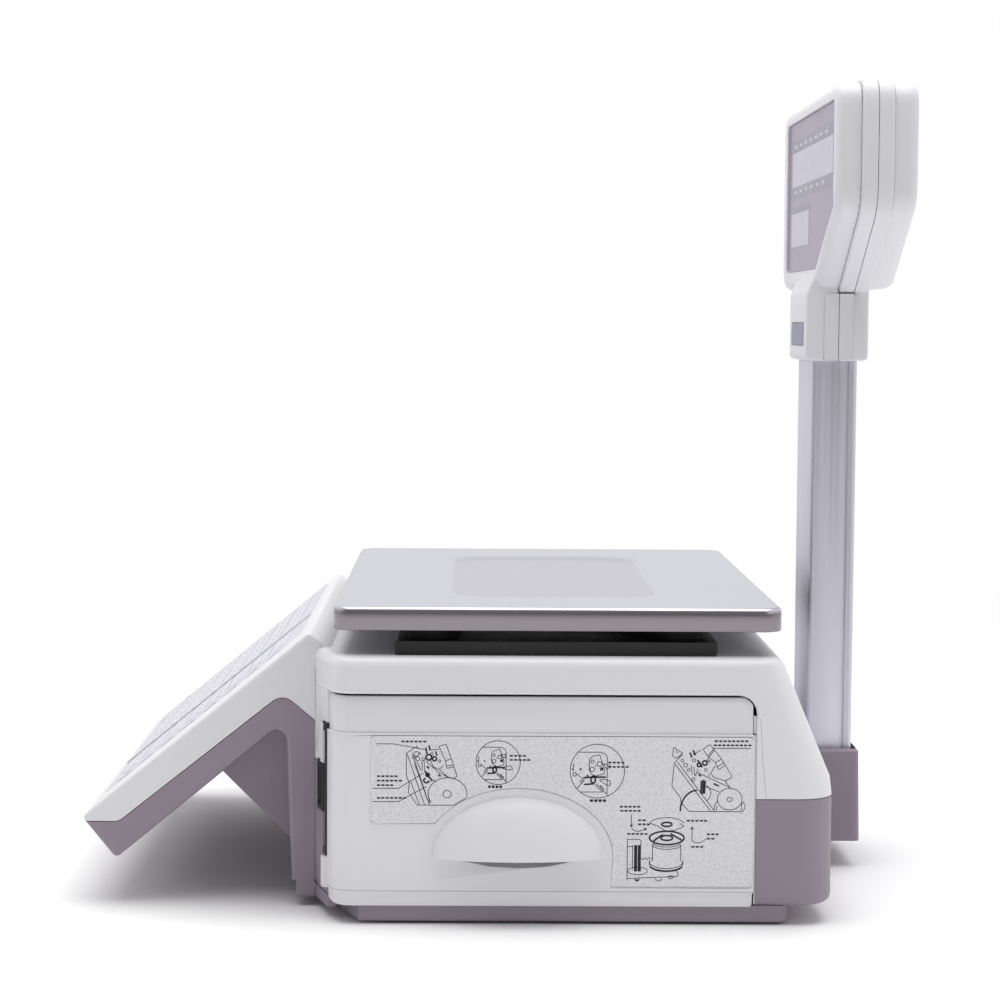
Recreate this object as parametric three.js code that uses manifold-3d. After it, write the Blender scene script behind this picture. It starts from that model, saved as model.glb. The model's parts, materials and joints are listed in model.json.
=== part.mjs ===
// Retail price scale with a label printer: a three.js assembly in millimetres, +Z up.
//
// While it is modelled, X = 0 is the middle of the platter, Y = 0 its front edge, and Z = 0 the
// counter. +X is the side with the printer drawer, -Y the keyboard side, +Y the pole side.
// The finished group is moved so that its origin is the middle of its box, on the counter.

import * as THREE from 'three'
import { mergeVertices } from 'three/addons/utils/BufferGeometryUtils.js'
import Module from 'manifold-3d'

const wasm = await Module()
wasm.setup()

// ---------------------------------------------------------------- driving dimensions

const GAP = 0.3 // clearance between pieces that touch on the real object
const WALL = 3 // moulded wall thickness

const PLATTER = { width: 350, depth: 240, top: 169, skirt: 12.5, sheet: 1.2, corner: 11 }

const BODY = { half: 185, front: -11, top: 143, floor: 11, parting: 68.3, edge: 4.5 }
const BODY_REAR = [[11, 265], [68, 265], [78, 263.9], [142, 238.6], [143, 238.2]] // [z, y]
const MODULE = { left: 142, frontAtRight: 1.6, corner: 13 } // printer end of the front wall

const SLOPE = { y: -139, z: 49, angle: THREE.MathUtils.degToRad(39.4), length: 160.5 }
const KEYBOARD = { left: -184, right: MODULE.left, armWidth: 22 }

const DOOR = { face: 185, sheet: 3, front: -5, rear: 224.6, bottom: 11.3, top: 123.2 }
const DOOR_STEP = { groove: 19.4, band: 103, recess: 1.2 } // strip below, band above the panel
const HANDLE = { y: 99.2, z: 37, half: 45.7, height: 32.3, bulge: 14 }

const BAY = { left: 58, front: 1.5, rear: 226, ceiling: 123.5 }
const TRAY = { left: 63, right: DOOR.face - DOOR.sheet - GAP, front: 5, rear: 217, z: 14.4 }

const POLE = { half: 30, front: 272.5, rear: 299.3, bottom: 24, top: 327 }
const POLE_BASE = { half: 39, front: 266, rear: 302.9, bottom: 17.5, top: 72 }
const HEAD = { left: -111, right: 115, shoulder: 386, bottom: 341, top: 451 } // seen from -Y
const HEAD_Y = { front: 272.4, seam: 295.7, rear: 318, rim: 8.7, proud: 2.5 }
const NECK = { half: 37.5, bottom: 299, front: 267.8, seam: 286.9, rear: 304.5, rim: 8.2 }
NECK.top = HEAD.bottom - HEAD_Y.proud - GAP

const SPIDER = { half: 171, front: 33, rear: 206, bottom: 144, top: 150.3 }
const CUPS = { x: 148.5, front: 51.3, rear: 185.3, radius: 16.5 }
const CELL = { half: 18, front: 48, rear: 188, bottom: 88, top: 118 }

const ROLL = { x: 118, y: 158, radius: 44, core: 19.5, bottom: 29.3, top: 87.3 }
const MECHANISM = { bottom: 17.3, top: 96, plate: 2 }
const GEARS = { z: 99, height: 5, module: 1.5 }
const PLATEN = { x: 150.5, y: 22.2, radius: 7.5, teeth: 18 }
const IDLER = { x: 123.6, y: 34.2, teeth: 21 }
const PINION = { x: 101.8, y: 32, teeth: 8 }
const TAKE_UP = { x: 111, y: 62.4, radius: 11, teeth: 20 }
const HEAD_PIVOT = { x: 170.5, y: 55 }
const LEVER_PIVOT = { x: 172, y: 32 }

// ---------------------------------------------------------------- materials

const material = (color, roughness, metalness) =>
  new THREE.MeshStandardMaterial({ color, roughness, metalness })

const MATERIALS = {
  white: () => material('#dcdce0', 0.55, 0),
  mauve: () => material('#857a88', 0.6, 0),
  darkPlastic: () => material('#1c1c1f', 0.5, 0),
  greyPlastic: () => material('#8b8c90', 0.55, 0),
  steel: () => material('#b9b9bb', 0.28, 1),
  blackSteel: () => material('#1a1a1d', 0.45, 0.4),
  aluminium: () => material('#b4b3bf', 0.4, 0.9),
  rubber: () => material('#141414', 0.9, 0),
  window: () => material('#8c8094', 0.12, 0),
  glass: () => material('#d5d6da', 0.15, 0),
  board: () => material('#1f5a35', 0.6, 0),
  paper: () => material('#f1efe8', 0.85, 0),
  card: () => material('#a3835a', 0.9, 0),
  overlay: () => material('#c9cad2', 0.45, 0),
  badge: () => material('#8e93a8', 0.4, 0),
}

// ---------------------------------------------------------------- outlines

// Points of a polygon whose corners are [x, y, radius]; each radius becomes a tangent arc.
function rounded(corners, steps = 4) {
  const points = []
  corners.forEach(([x, y, radius = 0], i) => {
    const corner = new THREE.Vector2(x, y)
    const before = corners[(i + corners.length - 1) % corners.length]
    const after = corners[(i + 1) % corners.length]
    if (!radius) {
      points.push(corner)
      return
    }
    const back = new THREE.Vector2(before[0] - x, before[1] - y).normalize()
    const ahead = new THREE.Vector2(after[0] - x, after[1] - y).normalize()
    const halfAngle = Math.acos(THREE.MathUtils.clamp(back.dot(ahead), -1, 1)) / 2
    const middle = back.clone().add(ahead).normalize()
    const centre = corner.clone().addScaledVector(middle, radius / Math.sin(halfAngle))
    const start = corner.clone().addScaledVector(back, radius / Math.tan(halfAngle))
    const end = corner.clone().addScaledVector(ahead, radius / Math.tan(halfAngle))
    const from = start.sub(centre).angle()
    let turn = end.sub(centre).angle() - from
    if (turn > Math.PI) turn -= 2 * Math.PI
    if (turn < -Math.PI) turn += 2 * Math.PI
    for (let k = 0; k <= steps; k++) {
      const angle = from + (turn * k) / steps
      points.push(new THREE.Vector2(
        centre.x + radius * Math.cos(angle), centre.y + radius * Math.sin(angle)))
    }
  })
  return points
}

const rectangle = (x0, x1, y0, y1, radius = 0, steps = 4) =>
  rounded([[x0, y0, radius], [x1, y0, radius], [x1, y1, radius], [x0, y1, radius]], steps)

const circle = (x, y, radius, steps = 20) =>
  Array.from({ length: steps }, (_, k) => new THREE.Vector2(
    x + radius * Math.cos((2 * Math.PI * k) / steps),
    y + radius * Math.sin((2 * Math.PI * k) / steps)))

// The same outline moved inwards by distance (outwards when it is negative).
function inset(points, distance) {
  const count = points.length
  return points.map((point, i) => {
    const before = points[(i + count - 1) % count]
    const after = points[(i + 1) % count]
    const a = point.clone().sub(before).normalize()
    const b = after.clone().sub(point).normalize()
    const bisector = new THREE.Vector2(-a.y - b.y, a.x + b.x).normalize()
    const spread = bisector.dot(new THREE.Vector2(-a.y, a.x))
    return point.clone().addScaledVector(bisector, distance / Math.max(spread, 0.2))
  })
}

// ---------------------------------------------------------------- solids

// Turns geometry drawn in its own XY plane so that its Z runs along the named axis:
// 'x' takes an outline of (y, z) points, 'y' one of (x, z) points, 'z' one of (x, y) points.
function stand(geometry, axis) {
  if (axis === 'x') {
    geometry.applyMatrix4(new THREE.Matrix4().set(0, 0, 1, 0, 1, 0, 0, 0, 0, 1, 0, 0, 0, 0, 0, 1))
  }
  if (axis === 'y') {
    geometry.applyMatrix4(new THREE.Matrix4().set(1, 0, 0, 0, 0, 0, -1, 0, 0, 1, 0, 0, 0, 0, 0, 1))
  }
  return geometry
}

function toSolid(geometry) {
  geometry.deleteAttribute('normal')
  geometry.deleteAttribute('uv')
  const merged = mergeVertices(geometry, 1e-4)
  return new wasm.Manifold(new wasm.Mesh({
    numProp: 3,
    vertProperties: new Float32Array(merged.attributes.position.array),
    triVerts: new Uint32Array(merged.index.array),
  }))
}

// A straight prism of an outline between two places on an axis, with optional holes.
function prism(points, from, to, axis = 'z', holes = []) {
  const shape = new THREE.Shape(points)
  holes.forEach((hole) => shape.holes.push(new THREE.Path(hole)))
  const geometry = new THREE.ExtrudeGeometry(shape, { depth: to - from, bevelEnabled: false })
  geometry.translate(0, 0, axis === 'y' ? -to : from)
  return toSolid(stand(geometry, axis))
}

const block = (x0, x1, y0, y1, z0, z1) => prism(rectangle(x0, x1, y0, y1), z0, z1)

// A body through outlines with equal point counts, each { at, points }, along an axis.
function loft(sections, axis = 'z') {
  const count = sections[0].points.length
  const place = (p, at) => (axis === 'y' ? [p.x, p.y, -at] : [p.x, p.y, at])
  const ordered = axis === 'y' ? [...sections].reverse() : sections
  const vertices = ordered.flatMap(({ at, points }) => points.flatMap((p) => place(p, at)))
  const triangles = []
  for (let s = 0; s + 1 < ordered.length; s++) {
    for (let i = 0; i < count; i++) {
      const a = s * count + i
      const b = s * count + ((i + 1) % count)
      triangles.push(a, b, b + count, a, b + count, a + count)
    }
  }
  const last = (ordered.length - 1) * count
  THREE.ShapeUtils.triangulateShape(ordered[0].points, [])
    .forEach(([a, b, c]) => triangles.push(a, c, b))
  THREE.ShapeUtils.triangulateShape(ordered.at(-1).points, [])
    .forEach(([a, b, c]) => triangles.push(last + a, last + b, last + c))
  const geometry = new THREE.BufferGeometry()
  geometry.setAttribute('position', new THREE.Float32BufferAttribute(vertices, 3))
  geometry.setIndex(triangles)
  return toSolid(stand(geometry, axis))
}

// A prism whose edges at the start and the end are rounded to the given radii.
function softPrism(points, from, to, startEdge, endEdge, axis = 'z', steps = 3) {
  const sections = []
  const arc = (k) => (Math.PI / 2) * (k / steps)
  for (let k = 0; k <= (startEdge ? steps : 0); k++) {
    sections.push({
      at: from + startEdge * (1 - Math.cos(arc(k))),
      points: inset(points, startEdge * (1 - Math.sin(arc(k)))),
    })
  }
  for (let k = 0; k <= (endEdge ? steps : 0); k++) {
    sections.push({
      at: to - endEdge * (1 - Math.sin(arc(k))),
      points: inset(points, endEdge * (1 - Math.cos(arc(k)))),
    })
  }
  return loft(sections, axis)
}

// A turned piece about a vertical axis: profile is [radius, z] pairs from axis to axis or closed.
function turned(x, y, profile, steps = 20) {
  const points = profile.map(([radius, z]) => new THREE.Vector2(radius, z))
  const geometry = new THREE.LatheGeometry(points, steps)
  geometry.rotateX(Math.PI / 2)
  geometry.translate(x, y, 0)
  return upright(toSolid(geometry))
}

// Lathe faces may come out reversed, depending on the profile's direction.
function upright(body) {
  if (body.volume() >= 0) return body
  const mesh = body.getMesh()
  const flipped = mesh.triVerts.slice()
  for (let i = 0; i < flipped.length; i += 3) {
    [flipped[i], flipped[i + 1]] = [flipped[i + 1], flipped[i]]
  }
  return new wasm.Manifold(new wasm.Mesh({
    numProp: 3, vertProperties: mesh.vertProperties, triVerts: flipped,
  }))
}

const rod = (x, y, radius, z0, z1, steps = 20) => prism(circle(x, y, radius, steps), z0, z1)

function ellipsoid(centre, radii, rings = 12, sides = 24) {
  const geometry = new THREE.SphereGeometry(1, sides, rings)
  geometry.scale(...radii)
  geometry.translate(...centre)
  return toSolid(geometry)
}

const join = (first, ...others) => others.reduce((sum, next) => sum.add(next), first)
const cut = (first, ...others) => others.reduce((rest, next) => rest.subtract(next), first)

// ---------------------------------------------------------------- the assembly

const scale = new THREE.Group()
scale.name = 'label_printing_price_scale'

function addPiece(name, body, finish) {
  const mesh = body.getMesh()
  const geometry = new THREE.BufferGeometry()
  geometry.setAttribute('position', new THREE.BufferAttribute(mesh.vertProperties, 3))
  geometry.setIndex(new THREE.BufferAttribute(mesh.triVerts, 1))
  geometry.computeVertexNormals()
  const piece = new THREE.Mesh(geometry, MATERIALS[finish]())
  piece.name = name
  scale.add(piece)
}

// ---------------------------------------------------------------- housing

function rearAt(z) {
  const next = BODY_REAR.findIndex(([level]) => level >= z)
  if (next <= 0) return BODY_REAR[0][1]
  const [z0, y0] = BODY_REAR[next - 1]
  const [z1, y1] = BODY_REAR[next]
  return y0 + ((y1 - y0) * (z - z0)) / (z1 - z0)
}

// Plan of the body at a height, drawn in by a distance. The rear corners grow towards the base.
function bodyPlan(z, drawIn) {
  const rear = rearAt(z)
  const rearRadius = THREE.MathUtils.mapLinear(rear, 238, 265, 15, 30)
  const corners = [
    [-BODY.half, BODY.front, 9], [MODULE.left, BODY.front],
    [BODY.half, MODULE.frontAtRight, MODULE.corner],
    [BODY.half, rear, rearRadius], [-BODY.half, rear, rearRadius],
  ]
  return inset(rounded(corners, 5), drawIn)
}

function bodyLoft(drawIn, bottom, top, edge) {
  const level = (z, extra = 0) => ({ at: z, points: bodyPlan(z, drawIn + extra) })
  return loft([
    level(bottom, edge * 0.9), level(bottom + edge * 0.35, edge * 0.25), level(bottom + edge),
    level(BODY.parting), level(78), level(top - edge), level(top - edge * 0.45, edge * 0.16),
    level(top - edge * 0.12, edge * 0.5), level(top, edge),
  ])
}

// Side outline of the keyboard case with the arm and the leg that make an upturned V.
const CASE_PROFILE = rounded([
  [-120.3, 26, 3], [-27.4, 102.6, 5.2], [-24, 14], [-21.6, 14], [-21.6, 5.1], [-10.5, 5.1],
  [-9, 12], [-9, 130], [-1, 142], [-14.9, 151.2, 3], [-139, 49, 3],
], 4)

// The belly between the two arms, filled down to a slanted web.
const WEB_PROFILE = rounded([
  [-64, 70.9], [-25, 38, 2], [-22, 14], [-9, 14], [-9, 112], [-24, 112],
], 3)

// Everything below the parting line between the white cover and the mauve base.
const PARTING_PROFILE = rounded([
  [-170, 0], [320, 0], [320, BODY.parting], [3, BODY.parting], [3, 82], [-11.4, 82],
  [-11.4, 102.6, 3], [-29, 117.4, 8], [-118.5, 46.5, 7], [-170, 46.5],
], 4)

const CASE_CAVITY = rounded([
  [-133, 48.5], [-119.8, 31.5], [-29.5, 105.5], [-18, 105.5], [-18, 130], [-6.5, 140.3],
  [-15.2, 146.6],
])
const WEB_CAVITY = rounded([[-62, 80], [-61, 76], [-27.5, 48], [-18, 48], [-18, 108], [-32, 108]])

function caseOuter() {
  const webRight = KEYBOARD.right - KEYBOARD.armWidth
  const webLeft = KEYBOARD.left + KEYBOARD.armWidth
  const arms = softPrism(CASE_PROFILE, KEYBOARD.left, KEYBOARD.right, 2.2, 2.2, 'x', 2)
  const between = prism(rounded([
    [-23.6, 4], [-23.6, 70], [-21.9, 38], [-21.9, 11], [-5, 11], [-5, 4],
  ]), webLeft, webRight, 'x')
  return join(cut(arms, between), prism(WEB_PROFILE, webLeft, webRight, 'x'))
}

function caseInner() {
  const left = KEYBOARD.left + WALL
  const right = KEYBOARD.right - WALL
  const side = KEYBOARD.armWidth + WALL
  return join(
    prism(CASE_CAVITY, left, right, 'x'),
    prism(WEB_CAVITY, KEYBOARD.left + side, KEYBOARD.right - side, 'x'),
  )
}

// A piece drawn flat, x across and y up the keyboard's slope, laid onto the slope.
function onSlope(points, from, to) {
  const shape = new THREE.Shape(points)
  const geometry = new THREE.ExtrudeGeometry(shape, { depth: to - from, bevelEnabled: false })
  geometry.translate(0, 0, from)
  geometry.rotateX(SLOPE.angle)
  geometry.translate(0, SLOPE.y, SLOPE.z)
  return toSolid(geometry)
}

const HOTKEY_PANEL = { x0: -173, x1: 6, s0: 9.5, s1: 151 }
const KEYPAD_PANEL = { x0: 9, x1: 105, s0: 9.5, s1: 151 }
const panelOutline = (panel, margin) => rectangle(
  panel.x0 - margin, panel.x1 + margin, panel.s0 - margin, panel.s1 + margin, 4 + margin)

const shellOuter = join(bodyLoft(0, BODY.floor, BODY.top, BODY.edge), caseOuter())
const shellInner = join(
  bodyLoft(WALL, BODY.floor + WALL, BODY.top - WALL, BODY.edge - 1.5), caseInner())

// The mouth in the right wall that the printer drawer closes, and the label outlet beside it.
function drawerMouth() {
  const opening = prism(rounded([
    [DOOR.front - 12, 0], [DOOR.rear + 0.8, 0], [DOOR.rear + 0.8, DOOR.top + 0.8, 10],
    [DOOR.front - 12, DOOR.top + 0.8],
  ], 5), 168.4, 260, 'x')
  const side = block(160, 260, BAY.front, BAY.rear - 5, BODY.floor + WALL, BAY.ceiling - 1)
  const outlet = block(145.6, 170, -20, 2, 56.4, 83.6)
  const slit = block(159.5, 170, -20, 2, 34, 106)
  const tabNotch = block(162.7, 170, -20, 2, 17.6, 34.5)
  return join(opening, side, outlet, slit, tabNotch)
}

function makeUpperHousing() {
  const below = prism(inset(PARTING_PROFILE, -GAP), -300, 300, 'x')
  const bayTop = block(BAY.left, 181.4, -3, BAY.rear, BAY.ceiling + 3, 143 - 2)
  const cellHole = prism(rectangle(-25, 25, 141, 195, 6), 130, 150)
  const levelHole = rod(-150, 17, 10, 130, 150)
  const shell = cut(
    shellOuter, shellInner, below, drawerMouth(), cellHole, levelHole,
    onSlope(panelOutline(HOTKEY_PANEL, GAP), -1.2, 3),
    onSlope(panelOutline(KEYPAD_PANEL, GAP), -1.2, 3),
  )
  addPiece('upper_housing', shell, 'white')
}

// Partition between the drawer's bay and the electronics, standing on the floor.
function bayPartition() {
  const sheet = (bottom, top, drawIn) => block(BAY.left - WALL, BAY.left, -20, 262, bottom, top)
    .intersect(bodyLoft(drawIn, BODY.floor, BODY.top, BODY.edge))
  return join(sheet(BODY.floor + 1, 66, WALL - 0.5), sheet(65, 118, WALL + GAP))
}

function makeLowerHousing() {
  const below = prism(PARTING_PROFILE, -300, 300, 'x')
  const partition = bayPartition()
  const vents = [0, 1, 2, 3, 4, 5, 6, 7].map((i) => block(
    -192, -178, 60 + i * 9, 64 + i * 9, 24, 54))
  const shell = cut(
    join(cut(shellOuter.intersect(below), shellInner), partition),
    drawerMouth(), ...vents,
    block(-192, -178, 158, 206.6, 27.4, 50.6), // inlet and switch
    block(-192, -178, 212.4, 232, 27.4, 50.6), // connectors
  )
  addPiece('lower_housing', shell, 'mauve')
}

function makeBasePlate() {
  const plan = rounded([
    [-178, 15.4, 8], [154, 15.4], [185, 26.5], [185, 243.2, 12], [-178, 243.2, 12],
  ])
  const plate = softPrism(plan, 1.8, BODY.floor - GAP, 1.2, 0, 'z', 2)
  const pocket = prism(inset(plan, 4), -1, 6.5)
  const ribs = [-90, 0, 90].map((x) => block(x - 1.5, x + 1.5, 18, 241, 3, 7))
  const bosses = FEET.map(([x, y]) => rod(x, y, 12, 3.2, 7, 16))
  const holes = FEET.map(([x, y]) => rod(x, y, 4.8, -1, 20, 16))
  addPiece('base_plate', cut(join(cut(plate, pocket), ...ribs, ...bosses), ...holes), 'mauve')
}

const FEET = [[-150, 38], [150, 38], [-150, 220], [150, 220]]

function makeFeet() {
  FEET.forEach(([x, y], i) => addPiece(`levelling_foot_${i + 1}`, turned(x, y, [
    [0, 0], [13, 0], [15, 1.2], [15, 2.9], [4.3, 2.9], [4.3, 10.2], [0, 10.2],
  ], 20), 'rubber'))
}

function makeBubbleLevel() {
  addPiece('bubble_level', turned(-150, 17, [
    [0, 137], [9.6, 137], [9.6, 143.4], [11.5, 143.4], [11.5, 144.2], [8.5, 144.6], [0, 145],
  ]), 'glass')
}

// ---------------------------------------------------------------- weighing

// A single-point load cell: a bar with the double hole that lets it flex as a parallelogram.
function makeLoadCell() {
  const middle = (CELL.front + CELL.rear) / 2
  const height = (CELL.bottom + CELL.top) / 2
  const bar = rectangle(CELL.front, CELL.rear, CELL.bottom, CELL.top, 2, 2)
  const waist = rectangle(middle - 17, middle + 17, height - 4, height + 4)
  const body = cut(
    prism(bar, -CELL.half, CELL.half, 'x'),
    prism(circle(middle - 19, height, 11.5), -40, 40, 'x'),
    prism(circle(middle + 19, height, 11.5), -40, 40, 'x'),
    prism(waist, -40, 40, 'x'),
  )
  addPiece('load_cell', body, 'aluminium')

  const foot = rounded([
    [38, 14.3], [104, 14.3], [104, 19], [92, 22, 3], [88, 40, 6], [88, CELL.bottom - GAP],
    [CELL.front, CELL.bottom - GAP], [CELL.front, 40, 6], [46, 22, 3], [38, 19],
  ], 3)
  const pedestal = cut(
    prism(foot, -26, 26, 'x'),
    prism(rectangle(40, 100, 30, 78, 6), -40, -8, 'x'),
    prism(rectangle(40, 100, 30, 78, 6), 8, 40, 'x'),
  )
  addPiece('load_cell_pedestal', pedestal, 'greyPlastic')

  const spacer = softPrism(rectangle(-17, 17, 150, 186, 4), CELL.top + GAP, SPIDER.bottom - GAP,
    0, 1.5, 'z', 2)
  addPiece('load_cell_spacer', spacer, 'aluminium')
}

// An H-shaped pressed frame: two side bars joined by a plate, open below.
function makePlatformSupport() {
  const barIn = 122
  const outline = rounded([
    [-SPIDER.half, SPIDER.front, 6], [-barIn, SPIDER.front, 6], [-barIn, 92, 12],
    [barIn, 92, 12], [barIn, SPIDER.front, 6], [SPIDER.half, SPIDER.front, 6],
    [SPIDER.half, SPIDER.rear, 6], [barIn, SPIDER.rear, 6], [barIn, 196, 8],
    [-barIn, 196, 8], [-barIn, SPIDER.rear, 6], [-SPIDER.half, SPIDER.rear, 6],
  ], 4)
  const pad = prism(rectangle(-19, 19, 146, 190, 4), SPIDER.bottom, SPIDER.top)
  const slots = [-85, -52, 52, 85].map((x) => prism(
    rectangle(x - 10, x + 10, 112, 178, 9), 100, 200))
  const frame = cut(
    softPrism(outline, SPIDER.bottom, SPIDER.top, 0, 1.5, 'z', 2),
    prism(inset(outline, 2.2), SPIDER.bottom - 1, SPIDER.top - 2.2),
  )
  addPiece('platform_support', cut(join(frame, pad), ...slots), 'blackSteel')

  const base = SPIDER.top + GAP
  const top = PLATTER.top - PLATTER.sheet - GAP
  const places = [-1, 1].flatMap((side) => [CUPS.front, CUPS.rear].map((y) => [side * CUPS.x, y]))
  places.forEach(([x, y], i) => addPiece(`platter_cup_${i + 1}`, turned(x, y, [
    [0, base], [CUPS.radius, base], [CUPS.radius, base + 5], [CUPS.radius - 2.5, base + 7],
    [CUPS.radius - 3.5, top - 3], [CUPS.radius - 5.5, top], [0, top],
  ]), 'rubber'))
}

// A pressed tray: flat top with a shallow embossed outline, short skirt, folded rim.
function makePlatter() {
  const half = PLATTER.width / 2
  const plan = rectangle(-half, half, 0, PLATTER.depth, PLATTER.corner, 6)
  const bottom = PLATTER.top - PLATTER.skirt
  const outer = softPrism(plan, bottom, PLATTER.top, 0, 2.4, 'z', 4)
  const hollow = softPrism(inset(plan, PLATTER.sheet), bottom - 1, PLATTER.top - PLATTER.sheet,
    0, 1.4, 'z', 3)
  const ring = (drawIn) => inset(rectangle(-118, 118, 62, 178, 26, 6), drawIn)
  const groove = prism(ring(0), PLATTER.top - 0.5, PLATTER.top + 1, 'z', [ring(1.6).reverse()])
  addPiece('platter', cut(outer, hollow, groove), 'steel')
}

// ---------------------------------------------------------------- keyboard and electronics

function makeKeyboard() {
  const overlay = (panel) => onSlope(panelOutline(panel, 0), -0.9, 0.15)
  const hotkeys = cut(overlay(HOTKEY_PANEL), onSlope(rectangle(-134, -126, 11.6, 18.5, 2), -3, 3))
  addPiece('hotkey_panel', hotkeys, 'overlay')
  addPiece('keypad_panel', overlay(KEYPAD_PANEL), 'overlay')
  addPiece('keyboard_board', onSlope(rectangle(-168, 130, 22, 140, 2, 1), -10, -8.4), 'board')
  addPiece('main_board', block(-168, -40, 60, 235, 86, 87.6), 'board')
}

function makePowerParts() {
  const supply = cut(
    softPrism(rectangle(-160, -60, 60, 140, 1), 20, 60, 0, 0.8, 'z', 1),
    ...[0, 1, 2, 3, 4, 5].map((i) => block(-150 + i * 14, -144 + i * 14, 70, 130, 54, 64)),
  )
  addPiece('power_supply', supply, 'steel')

  // The inlet: a bezel with the six-sided recess of an IEC C14 and its three flat pins.
  const face = -BODY.half
  const recess = rounded([
    [163.5, 30], [182.5, 30], [182.5, 42, 1], [178, 48, 1], [168, 48, 1], [163.5, 42, 1],
  ], 2)
  const inlet = join(
    cut(
      join(
        prism(rectangle(158.4, 187.4, 27.8, 50.2, 1), face - 0.6, face + 3, 'x'),
        prism(rectangle(160, 186, 28.4, 49.6, 1), face + 2, face + 22, 'x'),
      ),
      prism(recess, face - 2, face + 16, 'x'),
    ),
    ...[[168, 34.6], [173, 42.2], [178, 34.6]].map(([y, z]) => block(
      face + 3, face + 17, y - 1, y + 1, z - 1.8, z + 1.8)),
  )
  addPiece('power_inlet', inlet, 'darkPlastic')

  const frame = cut(
    join(
      prism(rectangle(188, 206.2, 27.8, 50.2, 1), face - 0.6, face + 3, 'x'),
      prism(rectangle(189, 205, 29, 49, 1), face + 2, face + 18, 'x'),
    ),
    prism(rectangle(190.4, 203.8, 30.4, 47.6), face - 2, face + 14, 'x'),
  )
  addPiece('switch_frame', frame, 'darkPlastic')

  // The rocker pivots about a Y axis; its two faces make a shallow V.
  const rocker = rounded([
    [face - 0.8, 32.5], [face + 0.6, 39], [face - 2.6, 45.5], [face + 4, 45.5], [face + 8, 39],
    [face + 4, 32.5],
  ])
  addPiece('power_rocker', prism(rocker, 190.9, 203.3, 'y'), 'darkPlastic')

  const sockets = [[215, 222, 30, 36], [215, 222, 41, 47], [224, 229.4, 31, 47]]
  const ports = cut(
    prism(rectangle(212.7, 231.7, 27.7, 50.3), face + 0.6, face + 9, 'x'),
    ...sockets.map(([y0, y1, z0, z1]) => prism(
      rectangle(y0, y1, z0, z1), face - 1, face + 6.5, 'x')),
  )
  addPiece('connector_block', ports, 'steel')
}

// ---------------------------------------------------------------- pole and display head

function makePole() {
  const left = -POLE_BASE.half
  const right = POLE_BASE.half
  const plan = (grow) => rectangle(
    left - grow, right + grow, POLE_BASE.front + GAP, POLE_BASE.rear + grow, 3, 3)
  const socket = rectangle(
    -POLE.half - GAP, POLE.half + GAP, POLE.front - GAP, POLE.rear + GAP, 1.5, 2)
  const base = cut(
    loft([
      { at: POLE_BASE.bottom, points: plan(-0.8) },
      { at: POLE_BASE.top - 5, points: plan(0) },
      { at: POLE_BASE.top - 1.5, points: plan(-1.6) },
      { at: POLE_BASE.top, points: plan(-3.2) },
    ]),
    prism(socket, POLE.bottom - GAP, POLE_BASE.top + 5),
    prism(rectangle(-22, 22, 276, 296, 4), 0, POLE.bottom + 5),
  )
  addPiece('pole_base', base, 'mauve')

  // The extrusion: a hollow rounded section with a groove down each side.
  const groove = 293.5
  const section = rounded([
    [-POLE.half, POLE.front, 2], [POLE.half, POLE.front, 2], [POLE.half, groove - 0.8],
    [POLE.half - 1, groove - 0.8], [POLE.half - 1, groove + 0.8], [POLE.half, groove + 0.8],
    [POLE.half, POLE.rear, 2], [-POLE.half, POLE.rear, 2], [-POLE.half, groove + 0.8],
    [1 - POLE.half, groove + 0.8], [1 - POLE.half, groove - 0.8], [-POLE.half, groove - 0.8],
  ], 3)
  const bore = rectangle(
    4 - POLE.half, POLE.half - 4, POLE.front + 3, POLE.rear - 3, 1.5, 2).reverse()
  addPiece('pole', prism(section, POLE.bottom, POLE.top, 'z', [bore]), 'aluminium')
}

// Outlines in (x, z). The head is a wide box whose +X side tapers in to the neck.
const headOutline = (grow) => inset(rounded([
  [HEAD.left, HEAD.bottom, 14], [36, HEAD.bottom, 10], [HEAD.right, HEAD.shoulder, 20],
  [HEAD.right, HEAD.top, 12], [HEAD.left, HEAD.top, 12],
], 4), -grow)

const windowOutline = (margin) => inset(rounded([
  [-95, 352.5, 3], [39, 352.5, 3], [106.5, 386.5, 6], [106.5, 442.5, 3], [-95, 442.5, 3],
], 3), -margin)

const displayOutline = rounded([[-86, 364], [60, 364], [98, 388], [98, 431], [-86, 431]])
const DISPLAYS = [[-80, 96, 405, 426.5], [-82, -2, 368, 388.5]]

// Side outline of the neck half in (y, z), with the blend that carries it into the head.
const NECK_FRONT = rounded([
  [NECK.front, NECK.bottom, 3], [NECK.seam - GAP / 2, NECK.bottom], [NECK.seam - GAP / 2, 346],
  [HEAD_Y.front + 2, 354], [NECK.front, 338, 8],
], 4)
const NECK_REAR = rounded([
  [NECK.seam + GAP / 2, NECK.bottom], [NECK.rear, NECK.bottom, 3], [NECK.rear, 346],
  [HEAD_Y.seam + GAP / 2, 346], [HEAD_Y.seam + GAP / 2, NECK.top], [NECK.seam + GAP / 2, NECK.top],
], 3)

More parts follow.
